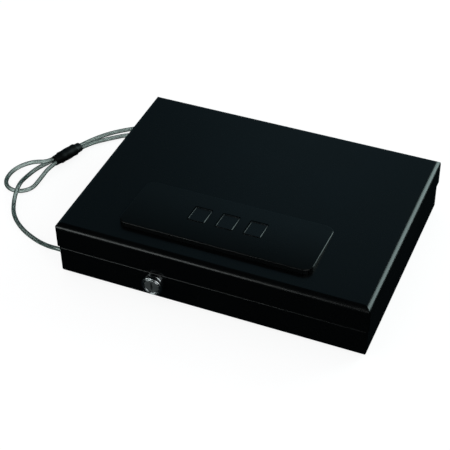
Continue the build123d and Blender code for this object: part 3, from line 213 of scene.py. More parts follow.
class CableSizes(bpy.types.PropertyGroup):
    """Sizes of the cable's coat and rope"""

    coat_radius: bpy.props.FloatProperty(
        name="Coat radius", description="Outer radius of the clear coat", default=2.0 * MM,
        unit="LENGTH",
    )
    strand_radius: bpy.props.FloatProperty(
        name="Strand radius", description="Radius of one steel strand", default=0.5 * MM,
        unit="LENGTH",
    )
    lay_length: bpy.props.FloatProperty(
        name="Lay length", description="Length of one turn of the strands", default=20 * MM,
        unit="LENGTH",
    )


class StageLights(bpy.types.PropertyGroup):
    """Brightness of the sky and the three lamps"""

    sky: bpy.props.FloatProperty(
        name="Sky", description="Even light from all round", default=0.62, min=0.0,
    )
    front_strip: bpy.props.FloatProperty(
        name="Front strip", description="Brightness of the long lamp at the front left",
        default=3.1, min=0.0,
    )
    fill: bpy.props.FloatProperty(
        name="Fill", description="Brightness of the soft lamp at the front right",
        default=1.6, min=0.0, max=20.0,
    )
    rear_lamp: bpy.props.FloatProperty(
        name="Rear lamp", description="Brightness of the lamp behind the right side",
        default=3.6, min=0.0,
    )


# ======================================================================= shells
class CASE_OT_shells(bpy.types.Operator):
    """Coat the two steel shells, the hinge leaves and the strikers"""

    bl_idname = "security_case.shells"
    bl_label = "Shells"

    def execute(self, context):
        settings = context.scene.case_finishes
        rough = settings.coat_roughness
        # Black powder coat on pressed steel: satin, with a fine orange peel that breaks up
        # the edge of a reflection.
        coat = finish(
            "black_powder_coated_steel", "#020304", "#030404", (rough - 0.03, rough + 0.03),
            1.4, 0.012, patch_mm=60.0, **{"IOR": 1.5, "Specular IOR Level": settings.coat_gloss},
        )
        dress(coat, "base_shell", "lid_shell", "hinge_leaf_base", "hinge_leaf_lid")
        # The same coat thin on a part that is handled: a shade lighter and duller.
        steelwork = finish(
            "thin_black_coated_steelwork", "#141719", "#1b1e20", (0.42, 0.52), 1.0, 0.01,
            **{"IOR": 1.5},
        )
        dress(steelwork, "striker_brackets")
        return {"FINISHED"}


# ======================================================================= hinge
class CASE_OT_hinge(bpy.types.Operator):
    """Finish the hinge pin and all the rivets"""

    bl_idname = "security_case.hinge"
    bl_label = "Hinge and rivets"

    def execute(self, context):
        # Bright zinc plate on steel: pale, slightly mottled metal with a soft shine.
        zinc = finish(
            "bright_zinc_plated_steel", "#b9bcbd", "#a3a8ab", (0.22, 0.36), 0.6, 0.004,
            patch_mm=6.0, Metallic=1.0,
        )
        dress(zinc, "hinge_pin", "striker_rivets", "hinge_rivets_base", "hinge_rivets_lid")
        return {"FINISHED"}


# ======================================================================= panel
CASE_HEIGHT = 56.0 * MM
PANEL_REAR_Y = -20.3 * MM
PANEL_REAR_LIP = 1.0 * MM  # how far the panel's low rear edge stands above the lid
PANEL_SLOPE = 3.6 / 63.0  # rise over depth, towards the front
BUTTON_Y = -48.6 * MM
PANEL_TOP_AT_BUTTONS = CASE_HEIGHT + PANEL_REAR_LIP + PANEL_SLOPE * (PANEL_REAR_Y - BUTTON_Y)
PANEL_CROWN = (-30.0 * MM, 2.6)  # where the face starts to roll forward, and how sharply


def pick_faces(piece, wanted):
    """In edit mode, select just the faces of a piece that pass a test on centre and normal."""
    shape = bmesh.from_edit_mesh(piece.data)
    bpy.ops.mesh.select_all(action="DESELECT")
    for face in shape.faces:
        face.select = bool(wanted(face.calc_center_median(), face.normal))
    shape.select_flush_mode()
    bmesh.update_edit_mesh(piece.data)


def pick_edges(piece, wanted):
    """In edit mode, select just the edges of a piece that pass a test on their two ends."""
    shape = bmesh.from_edit_mesh(piece.data)
    bpy.ops.mesh.select_all(action="DESELECT")
    bpy.ops.mesh.select_mode(type="EDGE")
    for edge in shape.edges:
        edge.select = bool(wanted(edge.verts[0].co, edge.verts[1].co))
    bmesh.update_edit_mesh(piece.data)


def button_cap():
    """A dished cap with a chamfered rim, about the panel's face at its own middle."""
    width, depth, below, proud, corner = 15.8 * MM, 20.0 * MM, 2.1 * MM, 0.5 * MM, 1.4 * MM
    rim, land, dish_wall, dish_depth = 0.42 * MM, 0.6 * MM, 0.2 * MM, 0.4 * MM
    flange, flange_height, lean = 0.95 * MM, 0.8 * MM, 0.75 * MM
    deselect()
    bpy.ops.mesh.primitive_cube_add(size=1.0, location=(0, 0, (proud - rim - below) / 2))
    cap = named("button_cap")
    cap.scale = (width, depth, below + proud - rim)
    settle(cap)
    bpy.ops.object.mode_set(mode="EDIT")
    pick_edges(cap, lambda a, b: abs(a.z - b.z) > MM)
    bpy.ops.mesh.bevel(offset=corner, segments=5)
    bpy.ops.mesh.select_mode(type="FACE")
    # chamfered rim, the flat inside it, then a shallow wall down into the dish
    pick_faces(cap, lambda centre, normal: normal.z > 0.9)
    bpy.ops.mesh.inset(thickness=rim, depth=rim)
    bpy.ops.mesh.inset(thickness=land, depth=0)
    bpy.ops.mesh.inset(thickness=dish_wall, depth=-dish_depth)
    # flange that keeps the cap in the panel
    pick_faces(cap, lambda centre, normal: normal.z < -0.9)
    bpy.ops.mesh.extrude_region_move(TRANSFORM_OT_translate={"value": (0, 0, 0)})
    bpy.ops.transform.resize(value=(1 + 2 * flange / width, 1 + 2 * flange / depth, 1))
    bpy.ops.mesh.extrude_region_move(TRANSFORM_OT_translate={"value": (0, 0, -flange_height)})
    bpy.ops.mesh.select_all(action="SELECT")
    bpy.ops.mesh.normals_make_consistent(inside=False)
    bpy.ops.object.mode_set(mode="OBJECT")
    # the top leans back: proud at the front, just under the panel's face at the back
    for vertex in cap.data.vertices:
        if vertex.co.z > -MM:
            vertex.co.z -= lean * (vertex.co.y / depth + 0.5)
    edge = cap.modifiers.new("moulded_edge", "BEVEL")
    edge.harden_normals = True
    edge.width = 0.1 * MM
    edge.segments = 2
    edge.limit_method = "ANGLE"
    bpy.ops.object.shade_smooth()
    apply_modifiers(cap)
    return cap


class CASE_OT_panel(bpy.types.Operator):
    """Finish the keypad panel, make its three caps, and finish the cover and battery box"""

    bl_idname = "security_case.panel"
    bl_label = "Panel and buttons"

    def execute(self, context):
        # Moulded ABS with a fine spark-eroded texture: satin black.
        shell = finish(
            "black_moulded_abs", "#040607", "#050707", (0.26, 0.3), 0.7, 0.008,
            patch_mm=40.0, crown=PANEL_CROWN, **{"IOR": 1.5, "Specular IOR Level": 0.36},
        )
        dress(shell, "control_panel")
        # Button caps polished a little by fingers: the same black, glossier.
        caps = finish(
            "black_abs_button_caps", "#040506", "#050607", (0.24, 0.32), 0.7, 0.005,
            patch_mm=12.0, **{"IOR": 1.5, "Specular IOR Level": 0.33},
        )
        # the openings for the buttons are broken with a small chamfer
        eased = nodes["control_panel"].modifiers.new("eased_openings", "BEVEL")
        eased.width = 0.55 * MM
        eased.segments = 1
        eased.limit_method = "ANGLE"
        eased.angle_limit = radians(70)
        eased.use_clamp_overlap = False
        pattern = button_cap()
        pattern.data.materials.append(caps)
        for name in ("button_1", "button_2", "button_3"):
            low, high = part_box(name)
            cap = pattern.copy()
            cap.data = pattern.data.copy()
            context.scene.collection.objects.link(cap)
            cap.name = cap.data.name = f"{name}_cap"
            cap.location = ((low.x + high.x) / 2, BUTTON_Y, PANEL_TOP_AT_BUTTONS)
            cap.rotation_euler = (-atan(PANEL_SLOPE), 0, 0)
            settle(cap)
            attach(cap, name)
            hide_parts(name)
        bpy.data.objects.remove(pattern)
        # Coarser texture inside the lid, dull grey-black.
        inside = finish(
            "textured_black_abs", "#17191a", "#1c1e20", (0.5, 0.62), 0.9, 0.03, **{"IOR": 1.5},
        )
        dress(inside, "lid_housing", "battery_box", "battery_door")
        return {"FINISHED"}


# ======================================================================= lock
LOCK_AXIS = Vector((-48.6, 0, 19.6)) * MM


def arc(middle, across, along, start, end, steps):
    """Points on part of an ellipse in the plane of radius and y; start and end are in degrees."""
    angles = [radians(start + (end - start) * k / steps) for k in range(steps + 1)]
    return [(middle[0] + across * cos(a), middle[1] + along * sin(a)) for a in angles]


# radius and y of the lock's barrel, collar, neck and two-lipped rim, from the back to the front
LOCK_PROFILE_MM = [
    (4.95, -87.2), (6.7, -87.2), (7.0, -87.5), (7.0, -101.8), (8.9, -101.8), (8.9, -103.45),
    (8.65, -103.7), (8.2, -103.7), (8.2, -104.8), (9.2, -104.8), (9.6, -105.1),
    *arc((8.2, -106.0), 1.4, 2.0, 0, -90, 5),
    *arc((8.2, -107.1), 0.5, 0.9, -90, -180, 3)[1:],
    *arc((6.965, -107.0), 0.585, 0.93, 0, -180, 8),
    (6.38, -105.05), (4.95, -105.05),
]


def turned(name, profile_mm, steps=72):
    """A lathe-turned piece about the lock's axis, from its closed profile."""
    deselect()
    bpy.ops.mesh.primitive_circle_add(vertices=len(profile_mm), radius=MM, fill_type="NOTHING")
    piece = named(name)
    for vertex, (radius, y) in zip(piece.data.vertices, profile_mm):
        vertex.co = LOCK_AXIS + Vector((radius, y, 0)) * MM
    bpy.ops.object.mode_set(mode="EDIT")
    bpy.ops.mesh.select_all(action="SELECT")
    bpy.ops.mesh.spin(
        steps=steps, angle=2 * pi, center=LOCK_AXIS, axis=(0, 1, 0), use_auto_merge=False,
    )
    bpy.ops.mesh.select_all(action="SELECT")
    bpy.ops.mesh.remove_doubles(threshold=0.005 * MM)
    bpy.ops.mesh.normals_make_consistent(inside=False)
    bpy.ops.object.mode_set(mode="OBJECT")
    bpy.ops.object.shade_smooth_by_angle(angle=radians(32))
    return piece


class CASE_OT_lock(bpy.types.Operator):
    """Turn the lock's barrel and rim, and finish them, the nut, the plug and the cam"""

    bl_idname = "security_case.lock"
    bl_label = "Key lock"

    def execute(self, context):
        # Bright chrome on a die-cast barrel, hazed a little by faint buffing marks.
        chrome = finish(
            "chrome_plated_zinc_casting", "#c9cccd", "#bcc0c2", (0.16, 0.26), 0.5, 0.002,
            patch_mm=4.0, Metallic=1.0,
        )
        # Satin nickel on the turned plug: greyer, softer reflections.
        nickel = finish(
            "satin_nickel_plated_brass", "#c3c8c8", "#9fa5a6", (0.4, 0.55), 0.5, 0.03,
            patch_mm=3.0, rings=(LOCK_AXIS, 2 * MM), Metallic=1.0,
        )
        dress(nickel, "key_plug", "lock_nut")
        body = turned("lock_barrel_and_rim", LOCK_PROFILE_MM)
        body.data.materials.append(chrome)
        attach(body, "base")
        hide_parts("lock_body")
        cam = finish(
            "zinc_plated_steel_cam", "#a9acad", "#989da0", (0.28, 0.42), 0.6, 0.006,
            patch_mm=5.0, Metallic=1.0,
        )
        dress(cam, "lock_cam", "cam_screw")
        return {"FINISHED"}


# ======================================================================= cable
CABLE_ROUTE_MM = [
    (-129.1, -87.0, 12.0), (-149.0, -87.0, 12.0), (-164.0, -81.0, 5.6), (-180.0, -74.5, 2.0),
    (-199.0, -66.0, 2.0), (-216.0, -52.0, 2.0), (-225.0, -36.0, 3.0), (-228.5, -23.0, 7.4),
    (-230.6, -11.5, 7.4), (-233.0, 2.5, 2.6), (-231.0, 17.0, 2.0), (-221.9, 35.9, 2.0),
    (-207.9, 69.1, 2.0), (-193.5, 92.0, 2.0), (-174.0, 109.5, 2.0), (-146.0, 127.0, 2.0),
    (-108.0, 142.0, 2.0), (-64.0, 150.5, 2.0), (-14.0, 156.0, 2.0), (28.0, 162.0, 2.0),
    (58.0, 165.0, 2.0), (82.0, 165.8, 2.0), (99.0, 163.6, 2.0), (112.4, 154.6, 2.0),
    (117.6, 139.0, 2.0), (112.4, 123.2, 2.0), (99.0, 113.8, 2.0), (82.0, 113.0, 2.0),
    (50.0, 114.4, 2.0), (4.0, 119.5, 2.0), (-50.0, 119.8, 2.0), (-102.0, 116.5, 2.0),
    (-144.0, 111.0, 2.0), (-170.0, 101.0, 2.0), (-188.0, 85.2, 2.4), (-201.9, 65.9, 5.0),
    (-216.6, 22.1, 7.4), (-218.9, 1.5, 2.8), (-219.5, -10.8, 2.0), (-228.2, -19.4, 2.0),
    (-240.4, -19.2, 2.0), (-249.1, -10.4, 2.0), (-251.0, 4.0, 2.0), (-245.5, 14.6, 3.8),
    (-233.5, 20.3, 7.8), (-220.4, 24.5, 8.0), (-214.6, 41.6, 6.5),
]


def cable_line(name):
    """A curve object with one open spline along the cable's route."""
    data = bpy.data.curves.new(name, "CURVE")
    data.dimensions = "3D"
    data.resolution_u = 16
    spline = data.splines.new("NURBS")
    spline.points.add(len(CABLE_ROUTE_MM) - 1)
    for point, place in zip(spline.points, CABLE_ROUTE_MM):
        point.co = (*(Vector(place) * MM), 1.0)
    spline.order_u = 3
    spline.use_endpoint_u = True
    line = bpy.data.objects.new(name, data)
    bpy.context.scene.collection.objects.link(line)
    return line


def centreline(line, step):
    """Points evenly spaced along a curve object's bare spline."""
    bpy.context.view_layer.update()
    bare = bpy.data.meshes.new_from_object(line)
    rough = [vertex.co.copy() for vertex in bare.vertices]
    bpy.data.meshes.remove(bare)
    lengths = [0.0]
    for a, b in zip(rough, rough[1:]):
        lengths.append(lengths[-1] + (b - a).length)
    count = round(lengths[-1] / step)
    points, i = [], 0
    for k in range(count + 1):
        target = lengths[-1] * k / count
        while i < len(rough) - 2 and lengths[i + 1] < target:
            i += 1
        share = (target - lengths[i]) / (lengths[i + 1] - lengths[i])
        points.append(rough[i].lerp(rough[i + 1], share))
    return points, lengths[-1]


def rope_mesh(points, step, strand, lay):
    """Six round strands laid round a core, as one mesh along the points."""
    mesh = bpy.data.meshes.new("steel_rope")
    shape = bmesh.new()
    sides = 6
    tangents = [
        (points[min(i + 1, len(points) - 1)] - points[max(i - 1, 0)]).normalized()
        for i in range(len(points))
    ]
    normal = tangents[0].cross(Vector((0, 0, 1))).normalized()
    frames = []
    for tangent in tangents:
        normal = (normal - tangent * normal.dot(tangent)).normalized()
        frames.append((normal.copy(), tangent.cross(normal)))
    for wire in range(7):
        rings = []
        for i, (point, (across, along)) in enumerate(zip(points, frames)):
            turn = 2 * pi * (i * step / lay + wire / 6)
            reach = 0.0 if wire == 6 else 2 * strand
            middle = point + reach * (across * cos(turn) + along * sin(turn))
            rings.append([
                shape.verts.new(middle + strand * (
                    across * cos(2 * pi * k / sides) + along * sin(2 * pi * k / sides)
                ))
                for k in range(sides)
            ])
        for low, high in zip(rings, rings[1:]):
            for k in range(sides):
                n = (k + 1) % sides
                shape.faces.new((low[k], low[n], high[n], high[k])).smooth = True
        shape.faces.new(reversed(rings[0]))
        shape.faces.new(rings[-1])
    shape.normal_update()
    shape.to_mesh(mesh)
    shape.free()
    return mesh


# ends of the sleeve on the two strands: the eye's side, then the side towards the case
SLEEVE_START = Vector((-216.9, 28.0, 7.1)) * MM
SLEEVE_END = Vector((-205.7, 61.4, 5.3)) * MM


def crimp_sleeve():
    """A pressed sleeve over both strands: a barrel with a wide neck and a narrow neck."""
    axis = SLEEVE_END - SLEEVE_START
    radius, shoulder = 5.75 * MM, 8.5 * MM
    barrel = axis.length - 2 * shoulder
    deselect()
    bpy.ops.mesh.primitive_cylinder_add(
        vertices=40, radius=radius, depth=barrel, location=(0, 0, shoulder + barrel / 2)
    )
    sleeve = named("pressed_crimp_sleeve")
    settle(sleeve)
    bpy.ops.object.mode_set(mode="EDIT")
    bpy.ops.mesh.select_mode(type="FACE")

    def grow(length, share, shift=0.0, squeeze=1.0):
        """Extrude the selected end along the axis, to this share of its size."""
        bpy.ops.mesh.extrude_region_move(
            TRANSFORM_OT_translate={"value": (shift, 0, length)}
        )
        bpy.ops.transform.resize(value=(share, share * squeeze, 1))

    pick_faces(sleeve, lambda centre, normal: normal.z < -0.9)
    grow(-1.2 * MM, 0.93)
    grow(-0.8 * MM, 0.94)
    grow(-5.9 * MM, 0.95)
    grow(-0.6 * MM, 0.92)
    bpy.ops.mesh.inset(thickness=0.7 * MM, depth=-1.2 * MM)
    pick_faces(sleeve, lambda centre, normal: normal.z > 0.9)
    grow(1.0 * MM, 0.92)
    grow(1.0 * MM, 0.94, 0.2 * MM, 0.9)
    grow(4.4 * MM, 0.97)
    grow(0.6 * MM, 0.92)
    bpy.ops.mesh.inset(thickness=0.5 * MM, depth=-1.0 * MM)
    # shallow bands that the press leaves round the barrel
    bands = (12.0, 13.0, 22.0, 23.0)
    for height in (12.0, 13.0, 15.0, 20.0, 22.0, 23.0):
        bpy.ops.mesh.select_all(action="SELECT")
        bpy.ops.mesh.bisect(plane_co=(0, 0, height * MM), plane_no=(0, 0, 1))
    pick_edges(sleeve, lambda a, b: all(
        min(abs(v.z - h * MM) for h in bands) < 0.05 * MM for v in (a, b)
    ) and abs(a.z - b.z) < 0.05 * MM)
    bpy.ops.transform.resize(value=(0.955, 0.955, 1))
    bpy.ops.mesh.select_all(action="SELECT")
    bpy.ops.mesh.normals_make_consistent(inside=False)
    bpy.ops.object.mode_set(mode="OBJECT")
    edge = sleeve.modifiers.new("rounded_edges", "BEVEL")
    edge.width = 0.3 * MM
    edge.segments = 2
    edge.limit_method = "ANGLE"
    edge.angle_limit = radians(25)
    apply_modifiers(sleeve)
    bpy.ops.object.shade_smooth_by_angle(angle=radians(40))
    along = axis.normalized()
    across = along.cross(Vector((0, 0, 1))).normalized()
    turn = Matrix((across, along.cross(across), along)).transposed().to_4x4()
    sleeve.matrix_world = Matrix.Translation(SLEEVE_START) @ turn
    return settle(sleeve)


def clear_pvc():
    """Clear soft PVC, extruded over the rope: glassy, with a cool grey-green cast.

    A line of sight near the coat's edge goes through more of it, and the edges also carry painted
    shade: the colour turns dark where the coat is seen edge-on.
    """
    clear, output = new_material("clear_extruded_pvc")
    edge = add(clear, "ShaderNodeLayerWeight", {"Blend": 0.5}).outputs["Facing"]
    # painted shade: a dark colour mixed in where the coat is seen edge-on
    painted_edge_shade_tint = add(clear, "ShaderNodeMix", {
        0: ramp(clear, edge, 0.06, 0.36), 6: linear("#f2f9f6", 1), 7: linear("#323d3a", 1),
    }, data_type="RGBA")
    shader = add(clear, "ShaderNodeBsdfPrincipled", {
        "Base Color": painted_edge_shade_tint.outputs[2], "Roughness": 0.08, "IOR": 1.46,
        "Transmission Weight": 1.0,
    })
    clear.node_tree.links.new(shader.outputs["BSDF"], output.inputs["Surface"])
    return clear


class CASE_OT_cable(bpy.types.Operator):
    """Lay the security cable: a clear coat over a steel rope, with its eye and crimp sleeve"""

    bl_idname = "security_case.cable"
    bl_label = "Security cable"

    def execute(self, context):
        sizes = context.scene.cable_sizes
        coat = cable_line("clear_cable_coat")
        step = 1.0 * MM
        points, length = centreline(coat, step)
        coat.data.bevel_depth = sizes.coat_radius
        coat.data.bevel_resolution = 5
        coat.data.use_fill_caps = True
        coat.data.materials.append(clear_pvc())
        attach(coat, "base")
        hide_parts("security_cable")

        rope = bpy.data.objects.new(
            "steel_rope", rope_mesh(points, step, sizes.strand_radius, sizes.lay_length)
        )
        context.scene.collection.objects.link(rope)
        # Galvanised steel wire under the coat: pale grey with dark lines between strands.
        wire = finish(
            "galvanised_wire_rope", "#edf6f3", "#c6d1cd", (0.35, 0.5), 0.8, 0.01,
            patch_mm=5.0, Metallic=0.3,
        )
        rope.data.materials.append(wire)
        rope.parent = coat

        # Black coated aluminium, pressed: dull, with a faint grain.
        black = finish(
            "black_coated_aluminium_sleeve", "#020202", "#040404", (0.45, 0.55), 0.8, 0.02,
            patch_mm=5.0, **{"Specular IOR Level": 0.3},
        )
        sleeve = crimp_sleeve()
        sleeve.data.materials.append(black)
        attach(sleeve, "base")
        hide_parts("crimp_sleeve")
        bare = finish(
            "drawn_aluminium_stop", "#b0b2b3", "#9fa2a3", (0.3, 0.42), 0.8, 0.006,
            patch_mm=5.0, Metallic=1.0,
        )
        dress(bare, "cable_stop")
        rubber = finish(
            "moulded_black_rubber", "#101111", "#171818", (0.6, 0.72), 0.8, 0.02,
            patch_mm=8.0, **{"Specular IOR Level": 0.35},
        )
        dress(rubber, "cable_grommet")
        return {"FINISHED"}


# ======================================================================= foam
def extrude_all(rise):
    """Turn the flat piece being made into a block, with its faces the right way out."""
    bpy.ops.object.mode_set(mode="EDIT")
    bpy.ops.mesh.select_all(action="SELECT")
    bpy.ops.mesh.extrude_region_move(TRANSFORM_OT_translate={"value": (0, 0, rise)})
    bpy.ops.mesh.select_all(action="SELECT")
    bpy.ops.mesh.normals_make_consistent(inside=False)
    bpy.ops.mesh.select_all(action="DESELECT")
    bpy.ops.object.mode_set(mode="OBJECT")


def sheet_of_cells(name, low, high, z, cells_x, cells_y):
    """A flat grid as large as the box from low to high, at height z."""
    deselect()
    bpy.ops.mesh.primitive_grid_add(
        x_subdivisions=cells_x, y_subdivisions=cells_y, size=1.0,
        location=((low.x + high.x) / 2, (low.y + high.y) / 2, z),
    )
    grid = named(name)
    grid.scale = (high.x - low.x, high.y - low.y, 1.0)
    return settle(grid)


def base_lining():
    """The base's foam: a flat pad with a slack top and edges that the knife has drawn down."""
    edge_drop, edge_width, slack = 0.9 * MM, 3 * MM, 0.15 * MM
    low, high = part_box("foam_pad")
    lining = sheet_of_cells("base_foam_lining", low, high, low.z, 52, 38)
    extrude_all(high.z - low.z)
    middle = (low + high) / 2
    half = (high - low) / 2
    for vertex in lining.data.vertices:
        if vertex.co.z > middle.z:
            offset = vertex.co - middle
            edge = min(half.x - abs(offset.x), half.y - abs(offset.y))
            vertex.co.z -= edge_drop * exp(-edge / edge_width)
            vertex.co.z -= slack * (1 + sin(vertex.co.x * 61) * cos(vertex.co.y * 83 + 1.3))
    bevel = lining.modifiers.new("soft_cut_edge", "BEVEL")
    bevel.width = 0.8 * MM
    bevel.segments = 2
    bevel.limit_method = "ANGLE"
    apply_modifiers(lining)
    bpy.ops.object.shade_smooth_by_angle(angle=radians(50))
    return lining


def lid_crate():
    """The lid's foam: a thin web with a rounded bump on every other crossing of its grid."""
    cells_x, cells_y, web = 26, 12, 1.7 * MM
    low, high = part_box("lid_foam")
    crate = sheet_of_cells("lid_egg_crate_foam", low, high, high.z, cells_x, cells_y)
    extrude_all(-web)
    step_x, step_y = (high.x - low.x) / cells_x, (high.y - low.y) / cells_y
    for vertex in crate.data.vertices:
        if vertex.co.z < high.z - web / 2:
            column = round((vertex.co.x - low.x) / step_x)
            row = round((vertex.co.y - low.y) / step_y)
            inside = 0 < column < cells_x and 0 < row < cells_y
            vertex.select = inside and (column + row) % 2 == 0
    bpy.ops.object.mode_set(mode="EDIT")
    bpy.ops.mesh.select_mode(type="VERT")
    bpy.ops.transform.translate(value=(0, 0, low.z - high.z + web))
    bpy.ops.object.mode_set(mode="OBJECT")
    smooth = crate.modifiers.new("moulded_bumps", "SUBSURF")
    smooth.levels = smooth.render_levels = 2
    apply_modifiers(crate)
    bpy.ops.object.shade_smooth_by_angle(angle=radians(60))
    return crate


class CASE_OT_foam(bpy.types.Operator):
    """Cut the foam lining in the base and the egg-crate foam in the lid"""

    bl_idname = "security_case.foam"
    bl_label = "Foam lining"

    def execute(self, context):
        # Open-cell polyurethane foam: very dull, with pores that show as a fine speckle. The
        # pores are drawn 1.2 mm wide, coarser than real ones, so that they show.
        foam = finish(
            "open_cell_polyurethane_foam", "#1c1e21", "#35393d", (0.9, 1.0), 1.2, 0.5,
            patch_mm=2.4, **{"Specular IOR Level": 0.1},
        )
        for piece, body, node in (
            (base_lining(), "base", "foam_pad"), (lid_crate(), "lid", "lid_foam"),
        ):
            piece.data.materials.append(foam)
            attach(piece, body)
            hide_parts(node)
        return {"FINISHED"}


# ======================================================================= latch
class CASE_OT_latch(bpy.types.Operator):
    """Finish the latch, its solenoid and spring, and the lid's screws and standoffs"""

    bl_idname = "security_case.latch"
    bl_label = "Latch and solenoid"

    def execute(self, context):
        # Zinc-plated pressed steel: pale blue-grey with soft mottling.
        pressed = finish(
            "zinc_plated_pressed_steel", "#a7adb0", "#979ea2", (0.3, 0.45), 0.8, 0.008,
            patch_mm=9.0, Metallic=1.0,
        )
        dress(pressed, "latch_chassis", "latch_bar", "solenoid_frame")
        # Bright machine screws, nuts and pins.
        bright = finish(
            "bright_plated_fastener_steel", "#c2c5c6", "#adb1b3", (0.2, 0.32), 0.4, 0.003,
            patch_mm=3.0, Metallic=1.0,
        )
        dress(
            bright, "latch_guide_screws", "latch_guide_nuts", "link_pin", "solenoid_plunger",
            "panel_screws", "board_screws", "housing_screws", "lid_standoffs",
        )
        # Drawn spring wire: slightly darker, smooth.
        spring = finish(
            "drawn_spring_steel_wire", "#9a9c9e", "#85888a", (0.22, 0.3), 0.3, 0.002,
            patch_mm=2.0, Metallic=1.0,
        )
        dress(spring, "latch_spring")
        # Yellow polyester tape round the coil: glossy film with wrinkles.
        tape = finish(
            "yellow_polyester_coil_tape", "#b8891d", "#a87a16", (0.25, 0.35), 1.5, 0.03,
            patch_mm=8.0,
        )
        dress(tape, "solenoid_coil")
        return {"FINISHED"}


# ======================================================================= electronics
class CASE_OT_electronics(bpy.types.Operator):
    """Finish the circuit board and its parts, the leads, the cells and their contacts"""

    bl_idname = "security_case.electronics"
    bl_label = "Electronics and cells"

    def execute(self, context):
        board = finish(
            "green_solder_mask_on_glass_epoxy", "#1c6b3a", "#175c31", (0.3, 0.42), 1.2, 0.01,
            patch_mm=14.0,
        )
        dress(board, "circuit_board")
        black = finish(
            "moulded_epoxy_and_nylon", "#151617", "#1b1c1e", (0.45, 0.6), 0.5, 0.01,
            patch_mm=5.0,
        )
        dress(
            black, "tact_switches", "switch_plunger_1", "switch_plunger_2",
            "switch_plunger_3", "control_chip", "buzzer",
        )
        red = finish(
            "red_gloss_moulded_nylon", "#a81c1c", "#9a1717", (0.18, 0.28), 0.8, 0.006,
            patch_mm=6.0,
        )
        dress(red, "program_button")
        sleeve = finish(
            "red_pvc_lead_insulation", "#b01f1f", "#961818", (0.3, 0.42), 1.0, 0.01,
            patch_mm=6.0,
        )
        dress(sleeve, "battery_leads", "solenoid_leads")
        wrap = finish(
            "printed_foil_cell_wrap", "#23272b", "#2d3237", (0.2, 0.32), 1.5, 0.01,
            patch_mm=12.0, **{"Coat Weight": 0.4},
        )
        dress(wrap, "battery_cells")
        contact = finish(
            "nickel_plated_spring_strip", "#b8b7b1", "#a5a49e", (0.25, 0.36), 0.6, 0.004,
            patch_mm=4.0, Metallic=1.0,
        )
        dress(contact, "battery_contacts")
        return {"FINISHED"}


# ======================================================================= stage
def card(name, direction, distance, width, height, strength, colour):
    """A soft rectangular lamp of even brightness that faces the case and that the camera misses."""
    deselect()
    towards = Vector(direction).normalized()
    place = Vector((0, 0, 0.04)) + towards * distance
    bpy.ops.object.light_add(
        type="AREA", location=place, rotation=towards.to_track_quat("Z", "Y").to_euler(),
    )
    lamp = named(name)
    lamp.data.shape = "RECTANGLE"
    lamp.data.size = width
    lamp.data.size_y = height
    lamp.data.energy = strength * width * height * 4
    lamp.data.color = linear(colour)
    lamp.visible_camera = False
    return lamp


def seen_directly(material):
    """1 for rays that the camera sends straight, off a gloss or through a clear piece, else 0."""
    rays = add(material, "ShaderNodeLightPath").outputs
    seen = combine(material, "MAXIMUM", rays["Is Camera Ray"], rays["Is Glossy Ray"])
    return combine(material, "MAXIMUM", seen, rays["Is Transmission Ray"])


def white_sweep():
    """White floor: the camera sees it white, apart from the object's shadow."""
    deselect()
    bpy.ops.mesh.primitive_plane_add(size=8.0, location=(0, 0, 0))
    floor = named("floor")
    white, output = new_material("white_card_sweep")
    glow = combine(white, "MULTIPLY", seen_directly(white), 0.86)
    light = add(white, "ShaderNodeEmission", {"Strength": glow})
    paper = add(white, "ShaderNodeBsdfDiffuse", {"Color": linear("#7c7c7c", 1)})
    both = add(white, "ShaderNodeAddShader", {0: light.outputs[0], 1: paper.outputs[0]})
    white.node_tree.links.new(both.outputs[0], output.inputs["Surface"])
    floor.data.materials.append(white)


def reflection_tent():
    """Dark tent round the set that only reflections show, dimly lit from the back."""
    deselect()
    bpy.ops.mesh.primitive_uv_sphere_add(
        segments=48, ring_count=24, radius=3.2, location=(0, 0, 0)
    )
    tent = named("reflection_tent")
    bpy.ops.object.mode_set(mode="EDIT")
    bpy.ops.mesh.select_all(action="SELECT")
    bpy.ops.mesh.bisect(
        plane_co=(0, 0, 0.0003), plane_no=(0, 0, 1), clear_inner=True, use_fill=True
    )
    bpy.ops.object.mode_set(mode="OBJECT")
    dark, output = new_material("dark_tent_cloth")
    place = add(dark, "ShaderNodeTexCoord").outputs["Object"]
    x, y, z = add(dark, "ShaderNodeSeparateXYZ", {0: place}).outputs
    # bright up to about 42 degrees above the horizon at the back, dark from 52 degrees up
    lower = ramp(dark, z, 2.16, 2.55, 1.0, 0.04)
    glow = combine(dark, "MULTIPLY", lower, ramp(dark, y, 0.4, 1.7))
    # brightest a little left of the middle, dimmer at the far left and to the right
    glow = combine(dark, "MULTIPLY", glow, ramp(dark, x, -0.85, -0.25, 1.0, 0.72))
    glow = combine(dark, "MULTIPLY", glow, ramp(dark, x, -1.3, -0.8, 0.42, 1.0))
    glow = combine(dark, "MULTIPLY", glow, 0.235)
    light = add(dark, "ShaderNodeEmission", {
        "Color": linear("#b3e9ff", 1), "Strength": combine(dark, "ADD", glow, 0.006),
    })
    dark.node_tree.links.new(light.outputs[0], output.inputs["Surface"])
    tent.data.materials.append(dark)
    tent.visible_camera = tent.visible_diffuse = tent.visible_shadow = False
    tent.visible_transmission = False


def even_sky(scene, brightness):
    """White all round to the camera, and that bright to everything it lights."""
    sky = bpy.data.worlds.new("sky")
    scene.world = sky
    sky.use_nodes = True
    sky.node_tree.nodes.clear()
    output = add(sky, "ShaderNodeOutputWorld")
    level = add(sky, "ShaderNodeMix", {0: seen_directly(sky), 2: brightness, 3: 1.0})
    shade = add(sky, "ShaderNodeBackground", {
        "Color": linear("#fbfdff", 1), "Strength": level.outputs[0],
    })
    sky.node_tree.links.new(shade.outputs[0], output.inputs["Surface"])


